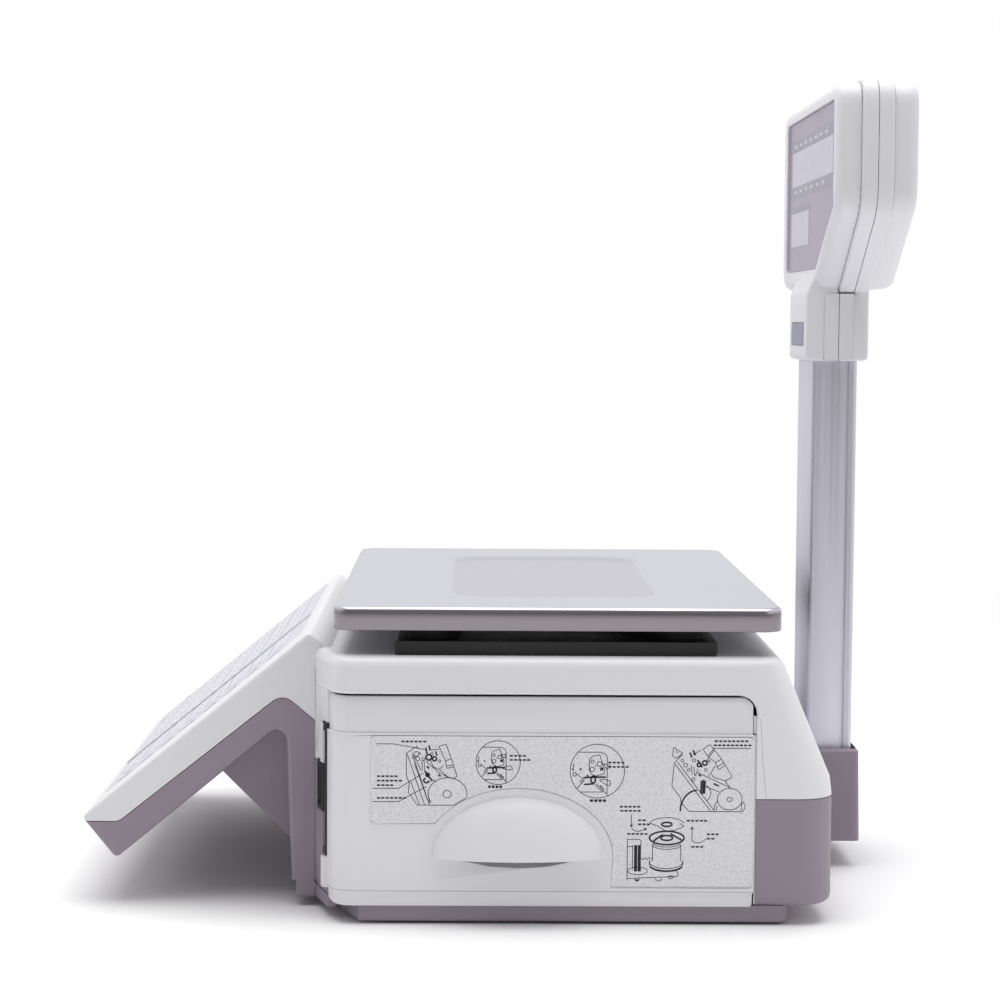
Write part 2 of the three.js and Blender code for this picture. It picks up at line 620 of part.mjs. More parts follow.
// One half of the head, from its outer face to the seam. side is -1 in front, 1 behind.
function headShell(side) {
  const face = side < 0 ? HEAD_Y.front : HEAD_Y.rear
  const seam = HEAD_Y.seam + side * (GAP / 2)
  const neckSeam = NECK.seam + side * (GAP / 2)
  const span = (a, b) => [Math.min(a, b), Math.max(a, b)]
  const edges = (radius) => (side < 0 ? [radius, 0] : [0, radius])
  const head = softPrism(headOutline(0), ...span(face, seam), ...edges(6), 'y', 4)
  const rim = softPrism(
    headOutline(HEAD_Y.proud), ...span(seam + side * HEAD_Y.rim, seam), ...edges(0.8), 'y', 1)
  const neck = softPrism(side < 0 ? NECK_FRONT : NECK_REAR, -NECK.half, NECK.half, 2, 2, 'x', 2)
  const half = NECK.half + 0.8
  const neckRim = block(-half, half, ...span(neckSeam + side * NECK.rim, neckSeam),
    NECK.bottom + 0.4, NECK.top)
  const hollow = softPrism(
    headOutline(-4), ...span(face - side * 5, seam - side * 2), ...edges(2), 'y', 2)
  const poleHole = prism(rectangle(
    -POLE.half - GAP, POLE.half + GAP, POLE.front - GAP, POLE.rear + GAP, 1.5, 2), 290, 331)
  const wireHole = block(-16, 16, 276, 298, 320, 350)
  const pocket = prism(windowOutline(GAP), ...span(face - side * 2.6, face + side * 3), 'y')
  const views = DISPLAYS.map(([x0, x1, z0, z1]) => prism(
    rectangle(x0, x1, z0, z1), ...span(face - side * 6, face), 'y'))
  return cut(join(head, rim, neck, neckRim), hollow, poleHole, wireHole, pocket, ...views)
}

function makeHead() {
  const sides = [['front', -1, HEAD_Y.front], ['rear', 1, HEAD_Y.rear]]
  sides.forEach(([name, side, face]) => {
    const span = (a, b) => [Math.min(a, b), Math.max(a, b)]
    let shell = headShell(side)
    if (side < 0) {
      shell = cut(shell, prism(rectangle(-26.3, 26.3, 307.7, 321.3), 260, 268.7, 'y'))
    }
    addPiece(`head_${name}_shell`, shell, 'white')
    addPiece(`head_${name}_window`,
      prism(windowOutline(0), ...span(face - side * 1.4, face - side * 2.3), 'y'), 'window')
    addPiece(`head_${name}_lcd`,
      prism(displayOutline, ...span(face - side * 5.4, face - side * 8), 'y'), 'glass')
  })
  addPiece('head_board', prism(displayOutline, 294.5, 296.1, 'y'), 'board')
  addPiece('head_badge', prism(rectangle(-26, 26, 308, 321, 0.8), 267.5, 268.4, 'y'), 'badge')
}

// ---------------------------------------------------------------- printer drawer

// Plan of the drawer front: round the corner of the body and along its side.
function doorPlan(drawIn) {
  return inset(rounded([
    [DOOR.face - 40, 20], [DOOR.face - 40, -10.15], [DOOR.face, MODULE.frontAtRight, MODULE.corner],
    [DOOR.face, DOOR.rear], [DOOR.face - 40, DOOR.rear],
  ], 8), drawIn)
}

function doorSkin() {
  const { groove, band, recess } = DOOR_STEP
  const level = (at, drawIn) => ({ at, points: doorPlan(drawIn) })
  const outer = loft([
    level(DOOR.bottom, 1.8), level(DOOR.bottom + 1.6, 0.8), level(groove - 0.8, 0.7),
    level(groove, 0), level(band - 1, 0), level(band, recess), level(DOOR.top - 3, recess),
    level(DOOR.top - 0.9, recess + 0.8), level(DOOR.top, recess + 2.6),
  ])
  const inner = prism(inset(doorPlan(0), DOOR.sheet), 0, 200)
  const face = prism(rounded([
    [DOOR.front - 8, DOOR.bottom - 1], [DOOR.rear, DOOR.bottom - 1, 4],
    [DOOR.rear, DOOR.top, 9], [DOOR.front - 8, DOOR.top],
  ], 5), 168.8, 260, 'x')
  return cut(outer, inner).intersect(face)
}

function makeDrawerFront() {
  const { y, z, half, height, bulge } = HANDLE
  const skin = doorSkin()
  const inside = block(168.8, DOOR.face - DOOR.sheet + 0.5, 20, DOOR.rear - 10, 14, 119)
  const cup = ellipsoid([DOOR.face, y, z + 8], [13.5, half - 1, 16.5], 8, 20).intersect(inside)
  const dome = ellipsoid([DOOR.face - 0.5, y, z], [bulge + 0.5, half, height], 12, 24)
    .intersect(block(DOOR.face - 1.5, 260, 0, 250, z, 200))
  const recess = ellipsoid([DOOR.face, y, z + 8], [11, half - 3.5, 14], 8, 20)
  const tab = prism(rounded([
    [163.2, -7.3, 1], [169.6, -5.2], [169.6, -1], [165, -1],
  ]), 18, 33.6)
  const label = labelFilm(0.25)
  addPiece('drawer_front', cut(join(skin, cup, dome, tab), recess, label), 'white')
  addPiece('instruction_label', labelFilm(0), 'overlay')
}

// The printed film on the drawer front, with an arc cut out round the handle.
function labelFilm(margin) {
  const { y, z, half, height } = HANDLE
  const sheet = rounded([
    [21, 55.1, 2], [y, 55.1], [y, 22, 2], [DOOR.rear - 1, 22, 2], [DOOR.rear - 1, 101.4, 2],
    [21, 101.4, 2],
  ], 2)
  const ellipse = Array.from({ length: 32 }, (_, k) => new THREE.Vector2(
    y + (half + 5 - margin) * Math.cos((Math.PI * k) / 16),
    z + (height + 5 - margin) * Math.sin((Math.PI * k) / 16)))
  const front = DOOR.face + 0.15
  const back = DOOR.face - 0.15
  return cut(
    prism(inset(sheet, -margin), back - margin, front + margin * 4, 'x'),
    prism(ellipse, 100, 300, 'x'),
    block(100, 300, y - half - 4, y + half + 4, 0, z + 2),
  )
}

function makeDrawerTray() {
  const { left, right, front, rear, z } = TRAY
  const floor = rounded([
    [left, front, 4], [right, front, 14], [right, rear, 4], [left, rear, 4],
  ])
  const pan = cut(
    prism(floor, z, 62),
    prism(inset(floor, 2), z + 2.2, 80),
    prism(rounded([[left - 5, 38], [150, 38, 8], [166, 80], [left - 5, 80]]), -20, 60, 'y'),
    block(left - 5, right - 14, 200, 240, 40, 80),
    block(right - 14, right + 5, HANDLE.y - HANDLE.half - 3, HANDLE.y + HANDLE.half + 3, z + 2.2, 80),
  )
  addPiece('drawer_tray', pan, 'darkPlastic')

  const rail = (y0, y1, lip) => join(
    block(BAY.left + 2, 166, y0, y1, BODY.floor + WALL + GAP, 16.5),
    block(BAY.left + 2, 166, lip, lip + 1.6, BODY.floor + WALL + GAP, 24),
  )
  addPiece('drawer_rail_front', rail(1.5, 4.6, 1.5), 'steel')
  addPiece('drawer_rail_rear', rail(TRAY.rear + 0.4, TRAY.rear + 5.6, TRAY.rear + 4), 'steel')
}

// The black frame of the label outlet, with its slot and a serrated tear edge.
function makeOutletBezel() {
  const frame = prism(rounded([
    [146, 56.8, 2], [159.9, 56.8], [159.9, 34.4], [168.4, 34.4], [168.4, 105.4],
    [159.9, 105.4], [159.9, 83.2], [146, 83.2, 2],
  ], 2), -9.6, 1.4, 'y')
  const slant = prism([
    new THREE.Vector2(140, -12.6), new THREE.Vector2(169, -3.9), new THREE.Vector2(169, -30),
    new THREE.Vector2(140, -30)], 0, 200)
  const panel = block(149, 158.5, -30, -6.5, 60, 80)
  const slot = block(161.6, 166.6, -30, 5, 38, 101)
  addPiece('label_outlet_bezel', cut(frame, slant, panel, slot), 'darkPlastic')
}

function makeLabelRoll() {
  const { x, y, radius, core, bottom, top } = ROLL
  addPiece('roll_spindle', turned(x, y, [
    [0, 17.2], [7, 17.2], [7, 24], [radius + 2, 25.4], [radius + 2, bottom - GAP],
    [core - 3.3, bottom - GAP], [core - 3.3, top - 2], [8, top - 2], [8, top + 3], [0, top + 3],
  ], 32), 'greyPlastic')
  addPiece('roll_core', turned(x, y, [
    [core - 3, bottom], [core - GAP, bottom], [core - GAP, top], [core - 3, top],
    [core - 3, bottom],
  ], 32), 'card')
  addPiece('label_roll', turned(x, y, [
    [core, bottom], [radius, bottom], [radius, top], [core, top], [core, bottom],
  ], 36), 'paper')

  // The half-round lock that is pushed down and turned to hold the roll.
  const low = top + GAP
  const halfDisc = rounded([[x - 38, y - 8, 3], [x + 38, y - 8, 3], [x + 38, y + 6],
    [x + 27, y + 27], [x, y + 38], [x - 27, y + 27], [x - 38, y + 6]], 2)
  const lock = cut(
    join(
      prism(halfDisc, low, low + 2.4),
      rod(x, y, 14, low, low + 8, 24),
      softPrism(rectangle(x - 22, x + 22, y - 4, y + 4, 3, 2), low + 2, low + 13, 0, 1.5, 'z', 2),
    ),
    rod(x, y, 8.6, low - 1, top + 3.4, 24),
  )
  addPiece('paper_lock', lock, 'darkPlastic')
}

// A spur gear outline: each tooth is a root, two flanks and a tip.
function gearOutline(x, y, teeth, phase) {
  const pitch = (teeth * GEARS.module) / 2
  const root = pitch - 1.2 * GEARS.module
  const tip = pitch + 0.75 * GEARS.module
  const ring = [[-0.3, root], [-0.12, tip], [0.12, tip], [0.3, root]]
  return Array.from({ length: teeth }, (_, k) => ring.map(([part, radius]) => {
    const angle = phase + (2 * Math.PI * (k + part)) / teeth
    return new THREE.Vector2(x + radius * Math.cos(angle), y + radius * Math.sin(angle))
  })).flat()
}

// Turns each gear so that its teeth sit in the gaps of the idler that it meets.
function meshPhase(gear) {
  const towards = Math.atan2(gear.y - IDLER.y, gear.x - IDLER.x)
  const idlerTurns = (towards / (2 * Math.PI)) * IDLER.teeth
  const fraction = idlerTurns - Math.floor(idlerTurns)
  return towards + Math.PI + ((0.5 + fraction) * 2 * Math.PI) / gear.teeth
}

function gear(name, place, phase, z = GEARS.z) {
  const bore = circle(place.x, place.y, 3.3, 12).reverse()
  addPiece(name, prism(
    gearOutline(place.x, place.y, place.teeth, phase), z, z + GEARS.height, 'z', [bore],
  ), 'greyPlastic')
}

function makeMechanism() {
  const { bottom, top, plate } = MECHANISM
  const upper = GEARS.z + GEARS.height
  // The pressed steel frame: two decks joined by a back wall, with clearance holes for shafts.
  const deck = rounded([
    [84, 10, 3], [158, 10, 3], [158, 36, 3], [136, 52, 4], [136, 78, 3], [92, 78, 3], [84, 52, 3],
  ], 2)
  const shafts = [[PLATEN.x, PLATEN.y, 3.9], [IDLER.x, IDLER.y, 0], [PINION.x, PINION.y, 3.4],
    [TAKE_UP.x, TAKE_UP.y, 3.9]]
  const holes = shafts.filter(([, , radius]) => radius)
    .map(([x, y, radius]) => rod(x, y, radius, 0, 130, 16))
  const frame = join(
    prism(deck, bottom, bottom + plate),
    prism(deck, top, top + plate),
    block(84, 86, 14, 50, bottom, top + plate),
    block(126, 134, 12, 14, bottom, top + plate),
    rod(IDLER.x, IDLER.y, 2.9, top, upper + 1.5, 12),
  )
  addPiece('print_chassis', cut(frame, ...holes), 'steel')

  addPiece('drive_motor', join(
    softPrism(rectangle(PINION.x - 15, PINION.x + 15, PINION.y - 15, PINION.y + 15, 3), 58,
      top - GAP, 1.5, 0, 'z', 2),
    rod(PINION.x, PINION.y, 8, 55, 60, 20),
  ), 'blackSteel')

  addPiece('platen_roller', turned(PLATEN.x, PLATEN.y, [
    [0, bottom + 0.4], [3, bottom + 0.4], [3, 26], [PLATEN.radius, 26], [PLATEN.radius, 90],
    [3, 90], [3, upper + 1], [0, upper + 1],
  ]), 'rubber')

  const ribs = Array.from({ length: 8 }, (_, k) => {
    const angle = (Math.PI * k) / 4
    const across = new THREE.Vector2(-Math.sin(angle), Math.cos(angle)).multiplyScalar(1.1)
    const out = new THREE.Vector2(Math.cos(angle), Math.sin(angle))
    const foot = out.clone().multiplyScalar(8).add(new THREE.Vector2(TAKE_UP.x, TAKE_UP.y))
    const tip = out.multiplyScalar(TAKE_UP.radius).add(new THREE.Vector2(TAKE_UP.x, TAKE_UP.y))
    return prism([foot.clone().sub(across), tip.clone().sub(across), tip.clone().add(across),
      foot.clone().add(across)], 27, 92)
  })
  addPiece('take_up_spindle', join(
    turned(TAKE_UP.x, TAKE_UP.y, [
      [0, bottom + 0.4], [3, bottom + 0.4], [3, 22], [20, 22], [20, 25.5], [9, 25.5], [9, 92],
      [3, 92], [3, upper + 1], [0, upper + 1],
    ]),
    ...ribs,
  ), 'darkPlastic')

  gear('idler_gear', IDLER, 0)
  gear('platen_gear', PLATEN, meshPhase(PLATEN))
  gear('take_up_gear', TAKE_UP, meshPhase(TAKE_UP))
  gear('motor_pinion', PINION, meshPhase(PINION))
}

// The hinged head bracket presses the thermal head on the platen; the lever frees it.
function makePrintHead() {
  const { x, y } = HEAD_PIVOT
  const reach = PLATEN.x + PLATEN.radius
  const post = rod(x, y, 4, 16.9, 97.5, 12)
  const plan = rounded([
    [reach + 3.4, 12, 1], [reach + 8, 12, 1], [reach + 8.5, 46, 3], [x + 3, y - 3], [x, y + 4],
    [x - 4, y], [reach + 3.4, 40, 3],
  ], 2)
  const bracket = cut(
    join(prism(plan, 24, 92), post),
    ...[34, 48, 62, 76].map((z) => block(reach + 5.6, 190, 5, 42, z, z + 6)),
  )
  addPiece('head_bracket', bracket, 'steel')
  addPiece('thermal_head', softPrism(rectangle(reach + 0.4, reach + 3.1, 13, 34), 27, 89,
    0.6, 0.6, 'z', 1), 'darkPlastic')

  const arm = rounded([
    [LEVER_PIVOT.x - 4, LEVER_PIVOT.y - 5, 3], [LEVER_PIVOT.x + 4, LEVER_PIVOT.y - 5, 3],
    [LEVER_PIVOT.x + 4, LEVER_PIVOT.y + 36, 3], [LEVER_PIVOT.x - 3, LEVER_PIVOT.y + 36, 3],
  ], 3)
  addPiece('release_lever', join(
    prism(arm, 98.5, 101.5),
    rod(LEVER_PIVOT.x, LEVER_PIVOT.y, 4, 92.6, 99, 16),
    softPrism(rectangle(LEVER_PIVOT.x - 3, LEVER_PIVOT.x + 4, LEVER_PIVOT.y + 22,
      LEVER_PIVOT.y + 36, 2, 2), 101, 108, 0, 1.5, 'z', 2),
  ), 'mauve')

  // The paper runs through the open slot of the sensor on its way to the platen.
  addPiece('paper_sensor', cut(
    softPrism(rectangle(153, 168, 78, 90, 1.5, 2), 16.9, 60, 0, 1.2, 'z', 2),
    block(158.5, 163.5, 70, 100, 26, 70),
  ), 'darkPlastic')
}

// ---------------------------------------------------------------- build

makeUpperHousing()
makeLowerHousing()
makeBasePlate()
makeFeet()
makeBubbleLevel()
makeLoadCell()
makePlatformSupport()
makePlatter()
makeKeyboard()
makePowerParts()
makePole()
makeHead()
makeDrawerFront()
makeDrawerTray()
makeOutletBezel()
makeLabelRoll()
makeMechanism()
makePrintHead()

const box = new THREE.Box3().setFromObject(scale)
scale.position.set(-(box.min.x + box.max.x) / 2, -(box.min.y + box.max.y) / 2, -box.min.z)
scale.updateMatrixWorld(true)

export default scale
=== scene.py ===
"""Retail price scale with a label printer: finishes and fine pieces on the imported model."""

import json
import math

import bmesh
import bpy
import numpy as np
from mathutils import Matrix, Vector


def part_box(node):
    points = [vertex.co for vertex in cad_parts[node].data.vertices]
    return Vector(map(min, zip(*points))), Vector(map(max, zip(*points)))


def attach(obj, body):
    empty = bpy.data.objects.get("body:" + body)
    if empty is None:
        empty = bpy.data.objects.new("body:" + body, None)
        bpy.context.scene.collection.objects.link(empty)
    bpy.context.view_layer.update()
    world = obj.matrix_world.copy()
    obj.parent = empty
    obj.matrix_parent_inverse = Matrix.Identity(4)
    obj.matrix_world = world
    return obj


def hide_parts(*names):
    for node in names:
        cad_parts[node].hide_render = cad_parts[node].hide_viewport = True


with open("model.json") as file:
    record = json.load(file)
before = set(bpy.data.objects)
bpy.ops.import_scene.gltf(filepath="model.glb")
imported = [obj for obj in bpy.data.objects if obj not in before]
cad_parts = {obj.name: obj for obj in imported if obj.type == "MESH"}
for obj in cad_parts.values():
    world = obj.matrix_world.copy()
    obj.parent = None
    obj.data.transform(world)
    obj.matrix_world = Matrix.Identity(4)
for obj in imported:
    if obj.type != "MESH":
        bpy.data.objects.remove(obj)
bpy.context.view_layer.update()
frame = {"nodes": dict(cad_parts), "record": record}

MM = 0.001
NODES = frame["nodes"]
RECORD = frame["record"]
BODY_OF = {node: body for body, nodes in RECORD["behaviour"]["bodies"].items() for node in nodes}
SLOT_OF = {row["node"]: row["material_slot"] for row in RECORD["subparts"]}


# ---------------------------------------------------------------- places, in mm
# Fine pieces are laid out in mm from the middle of the pan's width, its front edge and the
# counter, as the solids are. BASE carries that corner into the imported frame.

PAN_LOW, PAN_HIGH = (np.array(corner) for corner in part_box("platter"))
BASE = np.array([(PAN_LOW[0] + PAN_HIGH[0]) / 2, PAN_LOW[1], 0])


def box_mm(node):
    """Lowest and highest corner of a node in those mm."""
    return [(np.array(corner) - BASE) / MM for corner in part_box(node)]


SLOPE_FOOT, SLOPE_ANGLE = (-139.0, 49.0), math.radians(39.4)


def on_slope(x, along, height):
    """A point x across and so far up the keyboard's slope, and height above it."""
    y = SLOPE_FOOT[0] + along * math.cos(SLOPE_ANGLE) - height * math.sin(SLOPE_ANGLE)
    z = SLOPE_FOOT[1] + along * math.sin(SLOPE_ANGLE) + height * math.cos(SLOPE_ANGLE)
    return np.stack(np.broadcast_arrays(x, y, z), axis=-1)


def facing(axis, at, side=1):
    """Lays a flat drawing on a wall at a place on an axis; height stands off it to one side."""
    def lay(across, up, height):
        off = at + side * height
        order = {"x": (off, across, up), "y": (across, off, up), "z": (across, up, off)}[axis]
        return np.stack(np.broadcast_arrays(*order), axis=-1)
    return lay


# ---------------------------------------------------------------- shapes

def rounded_rectangle(width, height, radius, steps=5):
    """Four quarter circles about the corners' centres, joined in order."""
    turn = (np.arange(4)[:, None] + np.linspace(0, 1, steps)[None]).ravel() * np.pi / 2
    corner = np.array([[1, 1], [-1, 1], [-1, -1], [1, -1]])
    centre = np.repeat(corner * [width / 2 - radius, height / 2 - radius], steps, axis=0)
    return centre + radius * np.stack([np.cos(turn), np.sin(turn)], axis=1)


def oval(middle, radii, start=0, end=360, steps=24):
    """Points of an ellipse's arc between two angles in degrees."""
    turn = np.radians(np.linspace(start, end, steps))
    return np.array(middle) + np.array(radii) * np.stack([np.cos(turn), np.sin(turn)], axis=1)


def filleted(corners, steps=7):
    """A closed outline from (u, v, radius) corners. Each corner becomes an arc whose centre lies
    on the bisector, at the radius over the cosine of half the turn."""
    places, radius = np.array(corners, float)[:, :2], np.array(corners, float)[:, 2]
    before = unit(places - np.roll(places, 1, axis=0))
    after = unit(np.roll(places, -1, axis=0) - places)
    turn = np.arctan2(before[:, 0] * after[:, 1] - before[:, 1] * after[:, 0],
                      np.sum(before * after, axis=1))
    start = places - before * (radius * np.tan(turn / 2))[:, None]
    centre = start + np.stack([-before[:, 1], before[:, 0]], axis=1) * radius[:, None]
    first = np.arctan2(before[:, 1], before[:, 0]) - np.pi / 2
    angle = first[:, None] + turn[:, None] * np.linspace(0, 1, steps)
    arc = radius[:, None, None] * np.stack([np.cos(angle), np.sin(angle)], axis=-1)
    return (centre[:, None] + arc).reshape(-1, 2)


def eased(value, start, end):
    """From 0 at start to 1 at end, level at both: 3t^2 - 2t^3."""
    t = np.clip((value - start) / (end - start), 0, 1)
    return t * t * (3 - 2 * t)


def unit(vectors):
    """Each vector over its own length."""
    return vectors / np.maximum(np.linalg.norm(vectors, axis=-1, keepdims=True), 1e-12)


def drawn_in(outline, distance):
    """Each corner moves inwards along the bisector of its two sides, by the distance over the
    cosine of half the turn, so that the sides move by the distance."""
    before = unit(outline - np.roll(outline, 1, axis=0))
    after = unit(np.roll(outline, -1, axis=0) - outline)
    along = unit(before + after)
    bisector = np.stack([-along[:, 1], along[:, 0]], axis=1)
    spread = np.sum(np.stack([-before[:, 1], before[:, 0]], axis=1) * bisector, axis=1)
    return outline + bisector * (distance / np.maximum(spread, 0.3))[:, None]


def evenly(points, step):
    """Points spaced evenly along a polyline, by interpolating over its run length."""
    points = np.asarray(points, float)
    run = np.concatenate([[0], np.cumsum(np.linalg.norm(np.diff(points, axis=0), axis=1))])
    at = np.linspace(0, run[-1], max(2, int(np.ceil(run[-1] / step)) + 1))
    return np.stack([np.interp(at, run, column) for column in points.T], axis=1)


def plates(outline, places, levels, lay):
    """Copies of an outline at many places. levels are (height, drawn in) pairs from the back to
    the front, so a last pair drawn in further gives a broken edge."""
    rings = np.stack([drawn_in(outline, inward) for _, inward in levels])
    flat = np.asarray(places, float)[:, None, None, :] + rings[None]
    height = np.array([height for height, _ in levels])[None, :, None]
    return lay(flat[..., 0], flat[..., 1], height)


def upright(plan, *levels):
    """A plan carried straight up through (height, drawn in) levels."""
    return plates(np.array(plan), [(0, 0)], levels, facing("z", 0))


def ribbon(line, width, lay, thick=0.06, step=0.5, foot=0.0):
    """A bar of rectangular section carried along a line: the section's corners stand half the
    width to each side of the line, at the foot and at the top."""
    path = evenly(line, step)
    along = unit(np.gradient(path, axis=0))
    side = np.stack([-along[:, 1], along[:, 0]], axis=1) * width / 2
    across = np.array([-1, 1, 1, -1])[None, :, None]
    corners = path[:, None] + side[:, None] * across
    height = np.array([foot, foot, foot + thick, foot + thick])[None, :]
    return lay(corners[..., 0], corners[..., 1], height)[None]


def bead(path, out, width, height, sunk=0.2, steps=7):
    """A half-round bead along a path on a surface whose outward direction is out: half an
    ellipse, as wide as width across the path and rising to height."""
    path = np.asarray(path, float)
    out = np.broadcast_to(np.asarray(out, float), path.shape)
    side = unit(np.cross(unit(np.gradient(path, axis=0)), out))
    turn = np.linspace(0, np.pi, steps)
    across = side[:, None] * (np.cos(turn) * width / 2)[None, :, None]
    rise = out[:, None] * (np.sin(turn) * (height + sunk) - sunk)[None, :, None]
    return (path[:, None] + across + rise)[None]


def turned(profile, centre, lay, sides=16):
    """(radius, height) pairs swept round a centre."""
    turn = np.linspace(0, 2 * np.pi, sides, endpoint=False)
    radius, height = np.array(profile, float).T
    u = centre[0] + radius[:, None] * np.cos(turn)[None]
    v = centre[1] + radius[:, None] * np.sin(turn)[None]
    return lay(u, v, height[:, None])[None]


def closed_bodies(sections, start):
    """Points and faces of bodies lofted through sections, an array (bodies, sections, points,
    3): quads between neighbours, and a cap at each end."""
    bodies, rings, count, _ = sections.shape
    index = start + np.arange(bodies * rings * count).reshape(bodies, rings, count)
    ahead = np.roll(index, -1, axis=2)
    walls = np.stack([index[:, :-1], ahead[:, :-1], ahead[:, 1:], index[:, 1:]], axis=-1)
    caps = np.concatenate([index[:, 0, ::-1], index[:, -1]])
    return sections.reshape(-1, 3), walls.reshape(-1, 4).tolist() + caps.tolist()


def link(piece):
    """Puts a new object in the scene."""
    bpy.context.scene.collection.objects.link(piece)
    return piece


def make_piece(name, parts, material, body, slot, corner_degrees=35):
    """One piece from a list of section arrays in mm, its faces turned outwards."""
    points, faces, start = [], [], 0
    for sections in parts:
        part_points, part_faces = closed_bodies(sections, start)
        points.append(part_points)
        faces += part_faces
        start += len(part_points)
    mesh = bpy.data.meshes.new(name)
    mesh.from_pydata((BASE + np.concatenate(points) * MM).tolist(), [], faces)
    work = bmesh.new()
    work.from_mesh(mesh)
    bmesh.ops.recalc_face_normals(work, faces=work.faces)
    work.to_mesh(mesh)
    work.free()
    mesh.shade_smooth()
    mesh.set_sharp_from_angle(angle=math.radians(corner_degrees))
    mesh.materials.append(MATERIALS[material])
    piece = link(bpy.data.objects.new(name, mesh))
    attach(piece, body)
    return piece


# ---------------------------------------------------------------- materials: helpers

def linear(hex_code):
    """Turns an sRGB hex code into linear colour, channel by channel."""
    srgb = np.array([int(hex_code[i:i + 2], 16) for i in (1, 3, 5)]) / 255
    line = np.where(srgb <= 0.04045, srgb / 12.92, ((srgb + 0.055) / 1.055) ** 2.4)
    return (*line.tolist(), 1.0)


def add_node(tree, kind, inputs=None, **settings):
    """Adds one shader node. inputs maps a socket's name or number to a value or an output."""
    made = tree.nodes.new(kind)
    for key, value in settings.items():
        setattr(made, key, value)
    for key, value in (inputs or {}).items():
        if isinstance(value, bpy.types.NodeSocket):
            tree.links.new(value, made.inputs[key])
        else:
            made.inputs[key].default_value = value
    return made


def new_material(name, roughness=0.5, metallic=0.0, **values):
    """A material with one Principled shader: returns it, its tree and the shader."""
    material = bpy.data.materials.new(name)
    material.use_nodes = True
    shader = material.node_tree.nodes["Principled BSDF"]
    shader.inputs["Roughness"].default_value = roughness
    shader.inputs["Metallic"].default_value = metallic
    for key, value in values.items():
        shader.inputs[key.replace("_", " ")].default_value = value
    return material, material.node_tree, shader


def connect(tree, shader, **outputs):
    """Feeds sockets of the shader, named with _ for a space."""
    for name, output in outputs.items():
        tree.links.new(output, shader.inputs[name.replace("_", " ")])


DARK, LIGHT, MIXED = 6, 7, 2  # the colour sockets of a Mix node, by number
BLOB = 1.6  # a noise of scale 1 has blobs about this much smaller than its unit


# ---------------------------------------------------------------- materials

def moulded_abs(name, dark, light, roughness):
    """Injection-moulded ABS: an even colour with a faint drift, and the fine matt skin that a
    spark-eroded mould leaves, which breaks up highlights."""
    material, tree, shader = new_material(name, roughness, IOR=1.53)
    place = add_node(tree, "ShaderNodeTexCoord").outputs["Object"]
    drift = add_node(tree, "ShaderNodeTexNoise", {
        "Vector": place, "Scale": 1 / (BLOB * 70 * MM), "Detail": 1.0})
    skin = add_node(tree, "ShaderNodeTexNoise", {  # real grain is 0.1 mm: coarser, to show
        "Vector": place, "Scale": 1 / (BLOB * 0.8 * MM), "Detail": 2.0})
    tint = add_node(tree, "ShaderNodeMix", {
        "Factor": drift.outputs["Fac"], DARK: linear(dark), LIGHT: linear(light)},
        data_type="RGBA")
    gloss = add_node(tree, "ShaderNodeMapRange", {
        "Value": skin.outputs["Fac"], "From Min": 0.35, "From Max": 0.65,
        "To Min": roughness - 0.06, "To Max": roughness + 0.06})
    relief = add_node(tree, "ShaderNodeBump", {
        "Height": skin.outputs["Fac"], "Distance": 0.014 * MM})
    connect(tree, shader, Base_Color=tint.outputs[MIXED], Roughness=gloss.outputs["Result"],
            Normal=relief.outputs["Normal"])
    return material


def grained(name, dark, light, roughness, size_mm, relief_mm=0.0, metallic=0.0,
            stretch=(1, 1, 1), **values):
    """What most finishes share: a noise with blobs of size_mm, drawn out along an axis by
    stretch, tints the colour, varies the gloss and gives the relief."""
    material, tree, shader = new_material(name, roughness, metallic, **values)
    place = add_node(tree, "ShaderNodeTexCoord").outputs["Object"]
    scale = [1 / (BLOB * size_mm * MM * longer) for longer in stretch]
    spread = add_node(tree, "ShaderNodeMapping", {"Vector": place, "Scale": scale})
    grit = add_node(tree, "ShaderNodeTexNoise", {
        "Vector": spread.outputs["Vector"], "Scale": 1.0, "Detail": 2.0}).outputs["Fac"]
    level = add_node(tree, "ShaderNodeMapRange", {
        "Value": grit, "From Min": 0.35, "From Max": 0.65})
    tint = add_node(tree, "ShaderNodeMix", {
        "Factor": level.outputs["Result"], DARK: linear(dark), LIGHT: linear(light)},
        data_type="RGBA")
    gloss = add_node(tree, "ShaderNodeMapRange", {
        "Value": grit, "From Min": 0.35, "From Max": 0.65,
        "To Min": roughness * 0.87, "To Max": roughness * 1.13})
    connect(tree, shader, Base_Color=tint.outputs[MIXED], Roughness=gloss.outputs["Result"])
    if relief_mm:
        relief = add_node(tree, "ShaderNodeBump", {"Height": grit, "Distance": relief_mm * MM})
        connect(tree, shader, Normal=relief.outputs["Normal"])
    return material


